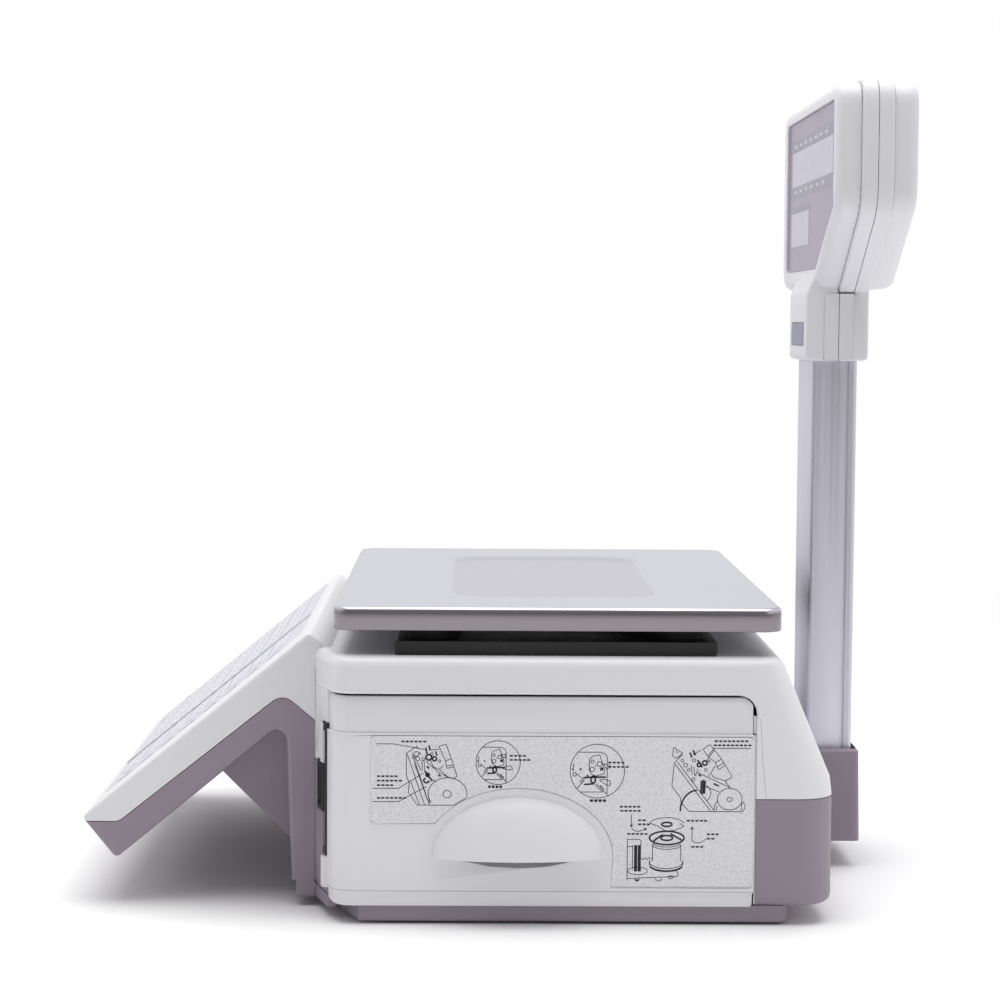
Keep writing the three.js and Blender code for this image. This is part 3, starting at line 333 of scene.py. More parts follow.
def pan_stainless():
    """Belt-brushed stainless sheet: fine scratches across the pan's width give a soft sheen.
    The folded skirt, below the top sheet, is the same steel painted darker: a painted reflection of
    the dim room behind the camera."""
    material, tree, shader = new_material("brushed_stainless", 0.24, 1.0)
    place = add_node(tree, "ShaderNodeTexCoord").outputs["Object"]
    scratch_mm, length_mm = 0.3, 60  # real scratches are 0.05 mm apart: coarser, to show
    scale = [1 / (BLOB * size * MM) for size in (scratch_mm, length_mm, scratch_mm)]
    spread = add_node(tree, "ShaderNodeMapping", {"Vector": place, "Scale": scale})
    lines = add_node(tree, "ShaderNodeTexNoise", {
        "Vector": spread.outputs["Vector"], "Scale": 1.0, "Detail": 3.0}).outputs["Fac"]
    sheet = add_node(tree, "ShaderNodeMix", {
        "Factor": lines, DARK: linear("#cecddb"), LIGHT: linear("#d3d2df")}, data_type="RGBA")
    # painted reflection: the skirt's darker colour stands for the dim room that the upright skirt
    # reflects
    painted_skirt_shade = add_node(tree, "ShaderNodeMix", {
        "Factor": lines, DARK: linear("#827c81"), LIGHT: linear("#8e888c")}, data_type="RGBA")
    # below the top's edge the painted reflection takes over from the sheet's own colour
    height = add_node(tree, "ShaderNodeSeparateXYZ", {"Vector": place}).outputs["Z"]
    above = add_node(tree, "ShaderNodeMapRange", {
        "Value": height, "From Min": PAN_HIGH[2] - 3 * MM, "From Max": PAN_HIGH[2] - 0.8 * MM})
    tint = add_node(tree, "ShaderNodeMix", {
        "Factor": above.outputs["Result"], DARK: painted_skirt_shade.outputs[MIXED],
        LIGHT: sheet.outputs[MIXED]}, data_type="RGBA")
    gloss = add_node(tree, "ShaderNodeMapRange", {
        "Value": lines, "From Min": 0.35, "From Max": 0.65, "To Min": 0.22, "To Max": 0.27})
    relief = add_node(tree, "ShaderNodeBump", {"Height": lines, "Distance": 0.0004 * MM})
    connect(tree, shader, Base_Color=tint.outputs[MIXED], Roughness=gloss.outputs["Result"],
            Normal=relief.outputs["Normal"])
    return material


def speckled_film():
    """Silvery polyester film: fine flecks of the metallised print show through the matt coat."""
    material, tree, shader = new_material("speckled_label_film", 0.42)
    place = add_node(tree, "ShaderNodeTexCoord").outputs["Object"]
    flecks = add_node(tree, "ShaderNodeTexNoise", {
        "Vector": place, "Scale": 1 / (BLOB * 0.45 * MM), "Detail": 1.0}).outputs["Fac"]
    level = add_node(tree, "ShaderNodeMapRange", {
        "Value": flecks, "From Min": 0.33, "From Max": 0.5})
    tint = add_node(tree, "ShaderNodeMix", {
        "Factor": level.outputs["Result"], DARK: linear("#c8c7cc"), LIGHT: linear("#e2e1e5")},
        data_type="RGBA")
    gloss = add_node(tree, "ShaderNodeMapRange", {
        "Value": flecks, "From Min": 0.35, "From Max": 0.65, "To Min": 0.36, "To Max": 0.48})
    connect(tree, shader, Base_Color=tint.outputs[MIXED], Roughness=gloss.outputs["Result"])
    return material


def wound_paper():
    """Label stock wound on its core: each turn's edge shows as a fine ring."""
    material, tree, shader = new_material("wound_label_stock", 0.6)
    low_corner, high_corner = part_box("label_roll")
    middle = [(a + b) / 2 for a, b in zip(low_corner, high_corner)]
    place = add_node(tree, "ShaderNodeTexCoord").outputs["Object"]
    centred = add_node(tree, "ShaderNodeMapping", {
        "Vector": place, "Scale": (1, 1, 0), "Location": (-middle[0], -middle[1], 0)})
    turn_mm = 0.9  # real turns are 0.15 mm: drawn coarser so that they show
    rings = add_node(tree, "ShaderNodeTexWave", {
        "Vector": centred.outputs["Vector"], "Scale": 1 / (turn_mm * MM * 20),
        "Distortion": 0.6, "Detail": 1.0}, wave_type="RINGS", rings_direction="SPHERICAL")
    tint = add_node(tree, "ShaderNodeMix", {
        "Factor": rings.outputs["Fac"], DARK: linear("#d9d6cc"), LIGHT: linear("#efede6")},
        data_type="RGBA")
    relief = add_node(tree, "ShaderNodeBump", {
        "Height": rings.outputs["Fac"], "Distance": 0.03 * MM})
    connect(tree, shader, Base_Color=tint.outputs[MIXED], Normal=relief.outputs["Normal"])
    return material


MATERIALS = {
    "white_abs": moulded_abs("white_abs", "#dfdee2", "#e3e2e6", 0.44),
    "mauve_abs": moulded_abs("mauve_abs", "#8b7f8d", "#918592", 0.5),
    "stainless": pan_stainless(),
    # the die leaves faint lines along an extrusion, and the anodising is satin
    "anodised": grained("anodised_aluminium", "#d2d0dc", "#d6d4e0", 0.46, 1.5, 0.0, 1.0,
                        stretch=(1, 1, 300)),
    # powder coat: an orange-peel skin that blurs reflections
    "black_steel": grained("black_powder_coat", "#161312", "#211e1c", 0.4, 1.2, 0.02),
    # milled and cast metals: tool marks and sand grain break up the gloss
    "aluminium": grained("milled_aluminium", "#a9a9ad", "#bcbcc0", 0.38, 0.9, 0.006, 1.0),
    "cast_grey": grained("cast_alloy", "#6f7074", "#7e7f83", 0.6, 1.5, 0.03),
    # zinc plate: a faint mottle from the bath
    "zinc_steel": grained("zinc_plated_steel", "#94959a", "#aeaeb0", 0.36, 5, 0.006, 1.0),
    "brass": grained("turned_brass", "#b08d4a", "#c5a25c", 0.3, 2, 0.004, 1.0),
    # polyester overlay with a velvet coat, back-printed: soft, even and a little cool
    "overlay_film": grained("velvet_polyester_overlay", "#cbcad4", "#d0cfd8", 0.42, 0.5, 0.006),
    # smoked acrylic over a printed mask: smooth, with a soft reflection of the room
    "tinted_window": grained("tinted_acrylic", "#8e849b", "#948aa0", 0.22, 40,
                             IOR=1.49, Specular_IOR_Level=0.13),
    "lcd_glass": grained("unlit_display_glass", "#bbb9ca", "#c0bece", 0.22, 12,
                         Specular_IOR_Level=0.13),
    "badge_film": grained("badge_film", "#82809a", "#88869e", 0.4, 0.6, 0.004),
    "label_film": speckled_film(),
    # fibreglass board under solder mask: glossy, with the weave just showing
    "circuit_board": grained("green_solder_mask", "#17492d", "#1c5636", 0.3, 3, 0.01),
    "black_plastic": grained("black_abs", "#141416", "#1c1c1f", 0.5, 0.8, 0.012, IOR=1.53),
    "grey_plastic": grained("grey_abs", "#78797d", "#808185", 0.5, 0.8, 0.012, IOR=1.53),
    # nitrile rubber: matt, dusty
    "black_rubber": grained("nitrile_rubber", "#121212", "#1b1b1b", 0.75, 0.6, 0.02),
    # acetal: waxy and slightly yellow
    "gear_nylon": grained("natural_acetal", "#d6d2c4", "#dfdbce", 0.4, 2, 0.004, IOR=1.48),
    "label_paper": wound_paper(),
    "web_paper": grained("coated_label_paper", "#e8e6df", "#efede6", 0.55, 0.5, 0.008),
    "cardboard": grained("grey_core_board", "#8f7350", "#a0825b", 0.85, 1.2, 0.03),
    "vial": grained("level_vial", "#a9b583", "#b3be8f", 0.12, 10, IOR=1.49),
    # print for the film's drawings, and also painted shade on the keyboard: the flap's step and the
    # keys' sides
    "ink": grained("printing_ink", "#121115", "#1c1b1f", 0.5, 0.5),
    "soft_ink": grained("grey_printing_ink", "#9f9eab", "#a8a7b3", 0.5, 0.5),
    # painted shade: the grey of fine seams, rims and grooves that fall into shade, laid on thin
    # beads
    "groove_shade": grained("painted_groove_shade", "#99989e", "#a1a0a6", 0.7, 0.8),
    "key_film": grained("embossed_key_film", "#d6d5dd", "#dbdae2", 0.4, 0.5, 0.006),
    "strip_film": grained("display_mask_ink", "#807e93", "#86849a", 0.3, 8),
}


# ---------------------------------------------------------------- finishing the solids

# The solids of these nodes stand a little inside the real outline, so their finished copies are
# eased out to it by the functions below. Each takes and returns points in mm.

BODY_HALF = 185  # half the width of the case
REAR_START = 228  # y behind which the rear of the case is eased
REAR_LEVELS = [11, 68, 78, 142, 143]  # heights at which the rear wall changes its slope
REAR_SOLID = [265, 265, 263.9, 238.6, 238.2]  # its y there on the solid
REAR_REAL = [268.2, 268.2, 267, 239.8, 239.4]  # and on the finished copy


def stretched(value, start, bend, end, new_bend, new_end):
    """Straight from start to bend and from bend to end, carried to new_bend and new_end."""
    first = start + (value - start) * (new_bend - start) / (bend - start)
    second = new_bend + (value - bend) * (new_end - new_bend) / (end - bend)
    return np.where(value < start, value, np.where(value < bend, first, second))


def fuller_rear(points):
    """The rear wall moves back, and each rear corner's quarter circle becomes a tighter one: the
    radii follow the wall's y, and both axes stretch linearly up to and within the corner."""
    x, y, z = points.T
    solid = np.interp(z, REAR_LEVELS, REAR_SOLID)
    real = np.interp(z, REAR_LEVELS, REAR_REAL)
    radius = np.interp(solid, [238, 265], [15, 30])
    tighter = np.interp(real, [239.4, 268.2], [13, 19])
    sideways = stretched(np.abs(x), 130, BODY_HALF - radius, BODY_HALF,
                         BODY_HALF - tighter, BODY_HALF)
    rearwards = stretched(y, REAR_START, solid - radius, solid, real - tighter, real)
    behind = y > REAR_START
    return np.column_stack([
        np.where(behind, np.sign(x) * sideways, x), np.where(behind, rearwards, y), z])


def deeper_web(points):
    """The rear as above, and the web behind the keyboard reaches 5.8 mm lower at its leg."""
    moved = fuller_rear(points)
    x, y, z = points.T
    at_leg = (y > -31) & (y < -22.4) & (z > 34) & (z < 52) & (x < 142)
    moved[:, 2] -= np.where(at_leg, 5.8 - 0.06 * (z - 36), 0)
    return moved


REAR_RISE = 0.8  # the head is this much deeper behind than its solid


def taller_head(points):
    """The head widens 4 mm at its far end, rises 2.4 mm at the top and deepens behind."""
    x, y, z = points.T
    wider, taller = 4, 2.4
    head = eased(z, 339, 344)  # the neck below stays
    return np.column_stack([
        x - wider * eased(-x, 88, 108) * head, y + REAR_RISE * eased(y, 305, 315) * head,
        z + taller * eased(z, 434, 447)])


def crisper_socket(points):
    """The pole's socket is prismatic up to a small break at its rim: heights and the amount
    that each stands out follow the two lists."""
    x, y, z = points.T
    levels = [17.5, 67, 70.5, 72]
    height = np.interp(z, levels, [16, 69.0, 69.5, 70])
    out = np.interp(z, levels, [1.3, -0.4, 0.8, 1.9])
    outside = np.abs(x) > 34
    return np.column_stack([
        np.where(outside, x + np.sign(x) * out, x),
        np.where(y > 299.5, y + out + 0.3, np.where(y < 268, y + 2.3, y)), height])


def longer_door(points):
    """The strip under the door's panel reaches 1.1 mm lower."""
    x, y, z = points.T
    return np.column_stack([x, y, z - 1.1 * eased(-z, -30, -21)])


def wider_base(points):
    """The bottom plate reaches 12 mm further forward, clears the door's foot and has tighter
    rear corners."""
    x, y, z = points.T
    ahead = (y < 17) | ((x > 150) & (y < 27))
    tighter = stretched(x, 140, 173, 185, 176.6, 181.6)
    rearwards = stretched(y, 224, 231.2, 243.2, 238.6, 243.6)
    return np.column_stack([
        np.where(y > REAR_START, tighter, np.where(x > 175, x - 3.4, x)),
        np.where(ahead, y - 12, rearwards), np.where(z < 2.5, z - 0.4, z)])


def wider_film(points):
    """The film's straight edges reach out 0.3 mm, over the rim of their shallow recess."""
    x, y, z = points.T
    side = np.where(y > 223.4, 0.3, np.where(y < 21.2, -0.3, 0))
    up = np.where(z > 101.2, 0.3, np.where((z < 22.2) | ((z < 55.3) & (y < 46)), -0.3, 0))
    return np.column_stack([np.where(x > 185, x + 0.04, x), y + side, z + up])


# node: width of its edge round in mm, and how its copy is eased out
FINER_COPIES = {
    "upper_housing": (0.35, fuller_rear), "lower_housing": (0.35, deeper_web),
    "base_plate": (0.35, wider_base), "drawer_front": (0.3, longer_door),
    "pole_base": (0.4, crisper_socket), "head_front_shell": (0.3, taller_head),
    "head_rear_shell": (0.3, taller_head), "head_front_window": (0, taller_head),
    "head_rear_window": (0, taller_head), "instruction_label": (0, wider_film),
    "platform_support": (0.3, None), "label_outlet_bezel": (0.2, None), "pole": (0.25, None),
    "hotkey_panel": (0.1, None), "keypad_panel": (0.1, None), "label_roll": (0, None),
    "paper_lock": (0.2, None), "roll_spindle": (0.2, None), "drawer_tray": (0.3, None),
    "print_chassis": (0.15, None), "load_cell_pedestal": (0.3, None),
}


def finer_copy(node, width_mm, eased_out):
    """A copy of a solid with its corners merged, its flat faces joined, its curves smooth and
    its hard edges broken by a round of width_mm."""
    hard, flat_enough, same_place = math.radians(32), math.radians(0.6), 0.002 * MM
    mesh = NODES[node].data.copy()
    mesh.name = node + "_finished"
    mesh.materials.clear()
    mesh.materials.append(MATERIALS[SLOT_OF[node]])
    if eased_out:
        flat = np.empty(3 * len(mesh.vertices))
        mesh.vertices.foreach_get("co", flat)
        moved = eased_out((flat.reshape(-1, 3) - BASE) / MM)
        mesh.vertices.foreach_set("co", (BASE + moved * MM).ravel())
    work = bmesh.new()
    work.from_mesh(mesh)
    bmesh.ops.remove_doubles(work, verts=work.verts, dist=same_place)
    bmesh.ops.dissolve_degenerate(work, edges=work.edges, dist=same_place)
    bmesh.ops.dissolve_limit(work, angle_limit=flat_enough, verts=work.verts, edges=work.edges)
    work.to_mesh(mesh)
    work.free()
    mesh.shade_smooth()
    mesh.set_sharp_from_angle(angle=hard)
    piece = link(bpy.data.objects.new(node + "_finished", mesh))
    if width_mm:
        rounding = piece.modifiers.new("edge_round", "BEVEL")
        rounding.width = width_mm * MM
        rounding.segments = 2
        rounding.limit_method = "ANGLE"
        rounding.angle_limit = hard
        rounding.harden_normals = True
        rounding.use_clamp_overlap = False
    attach(piece, BODY_OF[node])
    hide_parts(node)


def finish_solids():
    """Gives every solid the finish of its slot, and some a finer copy."""
    for node, piece in NODES.items():
        piece.data.materials.clear()
        piece.data.materials.append(MATERIALS[SLOT_OF[node]])
    for node, (width, eased_out) in FINER_COPIES.items():
        finer_copy(node, width, eased_out)


# ---------------------------------------------------------------- moulded lines of the body, and grey lines of painted shade in its seams

SLANT_START = (150, -8.66)  # on the slanted wall at the printer's end, in plan
CORNER_CENTRE, CORNER_RADIUS = (172, 11.34), 13  # the slanted wall's corner to the right side
SIDE_OUT = (1.0, 0.0, 0.0)


def corner_arc(height):
    """The corner's arc in plan at a height, and the outward direction at each of its points."""
    turn = np.radians(np.linspace(-73.67, 0, 9))
    out = np.column_stack([np.cos(turn), np.sin(turn), 0 * turn])
    return np.array([*CORNER_CENTRE, height]) + CORNER_RADIUS * out, out


def make_door_bead():
    """The raised bead round the drawer's opening. It follows the plan's slant and corner at one
    height, runs along the side, and turns down in a quarter circle at the rear."""
    height, rear, radius, foot = 125.1, 226.6, 11, 112
    corner, normal = corner_arc(height)
    bend = np.radians(np.linspace(90, 0, 9))
    down = np.column_stack([0 * bend + BODY_HALF, rear - radius + radius * np.cos(bend),
                            height - radius + radius * np.sin(bend)])
    path = np.vstack([[(*SLANT_START, height)], corner, down, [(BODY_HALF, rear, foot)]])
    out = np.vstack([normal[:1], normal, np.tile(SIDE_OUT, (len(down) + 1, 1))])
    make_piece("door_bead", [bead(path, out, 1.3, 0.55)], "white_abs", "housing", "white_abs")


def make_panel_lines():
    """The rim over the door's panel and the groove at its foot, a grey line of painted shade: beads
    at one height that follow the slant, the corner and the side."""
    # foot_groove is a flat grey bead: painted shade where the door's panel steps in at its foot
    for name, height, width, rise, finish in (("panel_rim", 102.5, 0.9, 0.22, "white_abs"),
                                              ("foot_groove", 18.6, 0.6, 0.03, "groove_shade")):
        corner, normal = corner_arc(height)
        side = [(BODY_HALF, y, height) for y in (60, 140, 224.2)]
        path = np.vstack([[(169.4, -2.98, height)], corner, side])
        out = np.vstack([normal[:1], normal, np.tile(SIDE_OUT, (len(side), 1))])
        make_piece(name, [bead(path, out, width, rise)], finish, "drawer", "white_abs")


def make_groove_shade_lines():
    """Fine grey lines of painted shade: the shade in the cover's seam behind the drawer, and along
    the rims of the two head halves and of the neck."""
    # painted shade in the cover's seam
    seam = bead([(BODY_HALF, 227.2, 112), (BODY_HALF, 228.8, 88), (BODY_HALF, 230.8, 69)],
                SIDE_OUT, 0.45, 0.04)
    make_piece("cover_seam", [seam], "groove_shade", "housing", "white_abs")
    outline = filleted([(-115, 341, 14), (36, 341, 10), (115, 386, 20), (115, 453.4, 12),
                        (-115, 453.4, 12)])
    outline = np.vstack([outline, outline[:2]])
    ahead = unit(np.gradient(outline, axis=0))
    out = np.column_stack([ahead[:, 1], 0 * ahead[:, 0], -ahead[:, 0]])
    head_seam, neck_middle, neck_half = 295.7, 286.9, 37.5
    # painted shade along the rims' edges, where the proud rims meet the shells
    rims = [bead(np.insert(outline, 1, head_seam + off, axis=1), out, 0.6, 0.12)
            for off in (-9.1, 9.1)]
    neck = [bead([(side * neck_half, neck_middle + off, z) for z in (300, 318, 336)],
                 (side, 0, 0), 0.5, 0.06)
            for side in (-1, 1) for off in (-8.5, 8.5)]
    make_piece("head_rim_lines", rims + neck, "groove_shade", "housing", "white_abs")


def make_door_reveal():
    """White ledges just inside the opening's rear edge, seen in the gap behind the door."""
    back = 225.35
    ledges = [
        upright([(x0, y), (x1, y), (x1, back), (x0, back)], (low, 0), (high, 0))
        for x0, x1, y, low, high in ((182, 184.1, 224.75, 12, 103),
                                     (181.6, 183.1, 223.75, 103.4, 113))]
    make_piece("door_reveal", ledges, "white_abs", "housing", "white_abs")


def make_corner_skirt():
    """The skirt under the slanted wall, from the keyboard's leg to the drawer's corner."""
    plan = [(136, -10.8), (142, -10.8), (168, -3), (168, 1.8), (136, 1.8)]
    make_piece("corner_skirt", [upright(plan, (5.6, 0.4), (6.2, 0), (12.6, 0))],
               "mauve_abs", "housing", "mauve_abs")


def make_outlet_lips():
    """Lips that narrow the outlet's slot: a white one above its black block, a mauve one below."""
    plan = [(158.2, -7.4), (163.4, -5.9), (163.4, -4.6), (158.2, -6.1)]
    for name, low, high, finish in (("outlet_upper_lip", 83.4, 105, "white_abs"),
                                    ("outlet_lower_lip", 35, 56.6, "mauve_abs")):
        make_piece(name, [upright(plan, (low, 0), (high, 0))], finish, "drawer", finish)


# ---------------------------------------------------------------- the pan and its support

PAN = {"width": 350, "depth": 240, "corner": 11, "top": 169, "skirt": 12.5, "sheet": 1.2,
       "fold": 2.4}
SUNK_PANEL = {"width": 236, "depth": 116, "corner": 26, "fall": 1.3}


def make_pan():
    """The pan: rounded rectangles lofted from the underside, round the folded skirt and the
    top's edge, a quarter circle, to the middle panel, which is pressed down in a soft S."""
    top, sheet, fold = PAN["top"], PAN["sheet"], PAN["fold"]
    skirt_foot, fall = top - PAN["skirt"], SUNK_PANEL["fall"]

    def ring(shape, outward, height):
        outline = rounded_rectangle(shape["width"] + 2 * outward, shape["depth"] + 2 * outward,
                                    max(shape["corner"] + outward, 1.5), 8)
        return np.column_stack([outline + [0, PAN["depth"] / 2], np.full(len(outline), height)])

    bend = np.radians(np.linspace(0, 90, 8))
    press = np.linspace(0, 1, 9)
    rings = [ring(SUNK_PANEL, 0, top - sheet - fall), ring(PAN, -3.4, top - sheet),
             ring(PAN, -sheet, top - 3.4), ring(PAN, -sheet, skirt_foot),
             ring(PAN, -0.3, skirt_foot), ring(PAN, 0, skirt_foot + 0.3)]
    rings += [ring(PAN, fold * (np.cos(a) - 1), top - fold + fold * np.sin(a)) for a in bend]
    rings += [ring(PAN, -6, top), ring(SUNK_PANEL, 6, top)]
    rings += [ring(SUNK_PANEL, 4 - 7 * t, top - fall * eased(t, 0, 1)) for t in press]
    rings += [ring(SUNK_PANEL, -6, top - fall)]
    piece = make_piece("pressed_pan", [np.stack(rings)[None]], "stainless",
                       BODY_OF["platter"], "stainless", 50)
    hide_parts("platter")


def make_support_aprons():
    """Folded aprons at both ends of the pan's support, down to the cover: flat strips with a
    small break along the top."""
    strip, middle, end = rounded_rectangle(171.8, 7.4, 0.4, 2), (118.9, 146.9), 171.05
    aprons = [plates(strip + middle, [(0, 0)], [(0, 0), (0.7, 0), (0.9, 0.2)],
                     facing("x", side * end, side)) for side in (1, -1)]
    make_piece("support_aprons", aprons, "black_steel", "housing", "black_steel")


# ---------------------------------------------------------------- keyboard

KEY_PITCH, KEY_LENGTH = 15.5, 12.4  # up the slope, both panels
KEY_ROWS = 24 + KEY_PITCH * np.arange(8)  # middles of the rows, up the slope


def key_grid(first_x, pitch_x, columns):
    """Middles of a block of keys, as (x, up the slope) pairs."""
    x = first_x + pitch_x * np.arange(columns)
    return np.stack(np.meshgrid(x, KEY_ROWS), axis=-1).reshape(-1, 2)


def make_keys():
    """Flush membrane keys: a pad embossed 0.25 mm with a printed outline and a legend bar."""
    blocks = [
        (key_grid(-160.5, 20.6, 8), 17.4),  # price look-up keys
        (key_grid(19.5, 16.2, 4), 13.6),  # figures and functions
        (key_grid(95.5, 0, 1), 9.6),  # the narrow column at the near end
    ]
    pads, frames, legends = [], [], []
    for places, width in blocks:
        outline = rounded_rectangle(width, KEY_LENGTH, 1.6)
        pads.append(plates(outline, places, [(0.1, 0), (0.3, 0), (0.42, 0.35)], on_slope))
        rim = drawn_in(outline, -0.45)
        closed = np.concatenate([rim, rim[:2]])
        frames += [ribbon(closed + place, 0.55, on_slope, 0.03, 1.5, 0.15) for place in places]
        bar = rounded_rectangle(width * 0.45, 1.3, 0.4, 2)
        legends.append(plates(bar, places + [[0, 1.2]], [(0.4, 0), (0.46, 0)], on_slope))
    make_piece("key_pads", pads, "key_film", "housing", "overlay_film")
    make_piece("key_outlines", frames, "soft_ink", "housing", "overlay_film")
    make_piece("key_legends", legends, "soft_ink", "housing", "overlay_film")
    # painted shade: a dark bar where the raised flap steps down to the keypad's panel stands for the
    # shade of that step
    edge = ribbon([[6.7, 9], [6.7, 151.5]], 1.5, on_slope, 0.6, 20, -0.2)
    make_piece("flap_step_shade", [edge], "ink", "housing", "overlay_film")
    # painted shade: a dark bar by each row of the near column stands for the shade on the embossed
    # keys' sides; one more dark bar lies at x = -168
    marks = [ribbon([[101.2, s - 4.4], [101.2, s + 4.4]], 0.7, on_slope, 0.05, 9, 0.42)
             for s in KEY_ROWS]
    marks.append(ribbon([[-168, 20], [-168, 33]], 1.2, on_slope, 0.06, 9, 0.3))
    make_piece("key_side_shade_marks", marks, "ink", "housing", "overlay_film")


# ---------------------------------------------------------------- displays

GLASS = [(-80, 96, 405, 426), (-82, -2, 368, 388.5)]  # x from and to, z from and to
BANDS = [(-84, 98, 426.6, 433.5), (-84, 98, 397.8, 404.6), (-84, 2, 389.2, 392.4)]


def pane(x0, x1, z0, z1, corner, thick, lay):
    """A thin pane between two x and two z, a hair off its wall."""
    return plates(rounded_rectangle(x1 - x0, z1 - z0, corner),
                  [[(x0 + x1) / 2, (z0 + z1) / 2]], [(0.02, 0), (thick, 0)], lay)


def make_displays():
    """Printed mask and unlit glass of both displays: bands with legend bars, and the two
    windows, drawn on the acrylic."""
    bars = [(x, 429.6) for x in np.arange(-64, 90, 22)]
    bars += [(x, 401.6) for x in np.arange(-64, 80, 24)]
    for name, side in (("front", -1), ("rear", 1)):
        low, high = box_mm(f"head_{name}_window")
        lay = facing("y", low[1] if side < 0 else high[1] + REAR_RISE, side)
        glass = [pane(*edges, 0.8, 0.1, lay) for edges in GLASS]
        bands = [pane(*edges, 0.5, 0.07, lay) for edges in BANDS]
        marks = [plates(rounded_rectangle(11, 1.7, 0.4, 2), bars, [(0.07, 0), (0.12, 0)], lay)]
        make_piece(f"display_glass_{name}", glass, "lcd_glass", "housing", "lcd_glass")
        make_piece(f"display_mask_{name}", bands, "strip_film", "housing", "tinted_window")
        make_piece(f"display_marks_{name}", marks, "lcd_glass", "housing", "tinted_window")


# ---------------------------------------------------------------- drawings on the drawer's film

FILM_CORNER = (21.0, 101.6)  # upper corner of the film towards the keyboard: y, z


def on_film(across, down, height):
    """A point so far across and down the film, standing off the drawer's face."""
    off = box_mm("instruction_label")[1][0] + height
    return np.stack(np.broadcast_arrays(
        off, FILM_CORNER[0] + across, FILM_CORNER[1] - down), axis=-1)


def closed(*points):
    """A closed polyline."""
    return np.array([*points, points[0]], float)


def arrow(tip, direction, size=1.5):
    """Two short strokes that meet at a tip."""
    back = -unit(np.array(direction, float)) * size
    side = np.array([-back[1], back[0]]) * 0.5
    return [tip + back + side, tip, tip + back - side]


def gear_rings(gears):
    """A small circle for each (across, down, radius)."""
    return [oval((u, v), (r, r), steps=14) for u, v, r in gears]


def open_drawer():
    """The drawer seen from above, pulled out: walls, roll, hub, mechanism and leader lines."""
    strokes = [
        [(24.3, 5.3), (18.7, 9.1), (18.7, 20.8), (20.3, 25), (19.8, 30), (24.6, 36.8),
         (43.8, 36.8), (50.5, 32.9)],
        [(24.3, 5.3), (25.2, 7)], [(19.1, 9.4), (28.5, 36.8)], [(21.8, 9), (31, 36.8)],
        [(21, 24), (25.7, 36.8)], [(22.8, 14), (30, 34)],
        closed((36, 5.3), (39.7, 4.1), (42.5, 11.9), (39.4, 13)),
        [(42.5, 11.9), (43.8, 15.1), (43.6, 16.4), (40.1, 17), (39.4, 13)],
        [(40.2, 15.8), (43.4, 15.2)], [(43.8, 16), (45.6, 21.1), (44.1, 22.4), (41, 21.9),
                                       (36, 17.6), (38.5, 15.5)],
        [(29.2, 13.3), (36, 19.4), (41, 21.9)], [(31.2, 12), (33, 16.4), (35.8, 17.6)],
        [(28, 13), (28.4, 18)], [(26.8, 13), (27.2, 18)], [(36.1, 6.8), (31.6, 7.4)],
        [(33, 23), (34.5, 24.5)], [(24.4, 13.6), (26.6, 18.6)], [(30.2, 30), (31, 36)],
        oval((40.6, 30.7), (10.3, 8.6), -215, 12), oval((40.4, 30.9), (2.2, 2.0)),
    ]
    heavy = [[(29, 6), (29.6, 9.4)], [(30.6, 4.8), (31.3, 7.6)], [(34.2, 8), (34.9, 10.4)],
             oval((30.6, 11.2), (1.5, 1.5)), oval((33.6, 12), (1.1, 1.1)),
             oval((30, 20.6), (0.9, 0.9)), [(28.4, 18.4), (30, 20.6), (32.6, 24)],
             oval((29.4, 23.6), (1.5, 1.2), 0, 250), [(29.6, 15.9), (30.8, 17.2)],
             [(35.6, 20.4), (37, 21.4)]]
    gears = [(24, 9.4, 1.3), (24.8, 12, 1.1), (27.8, 12.2, 0.8), (25.8, 9.2, 0.5),
             (22.7, 11.3, 0.8), (32.2, 9.3, 0.8), (36.3, 13.2, 0.7)]
    leaders = [[(2.5, 4.1), (12, 4.1), (28.6, 7.1)], [(0.8, 27.9), (14.5, 27.9), (27.8, 19.7)],
               [(0.8, 35), (14.5, 35), (29.4, 26.8)]]
    return strokes + gear_rings(gears) + leaders, heavy


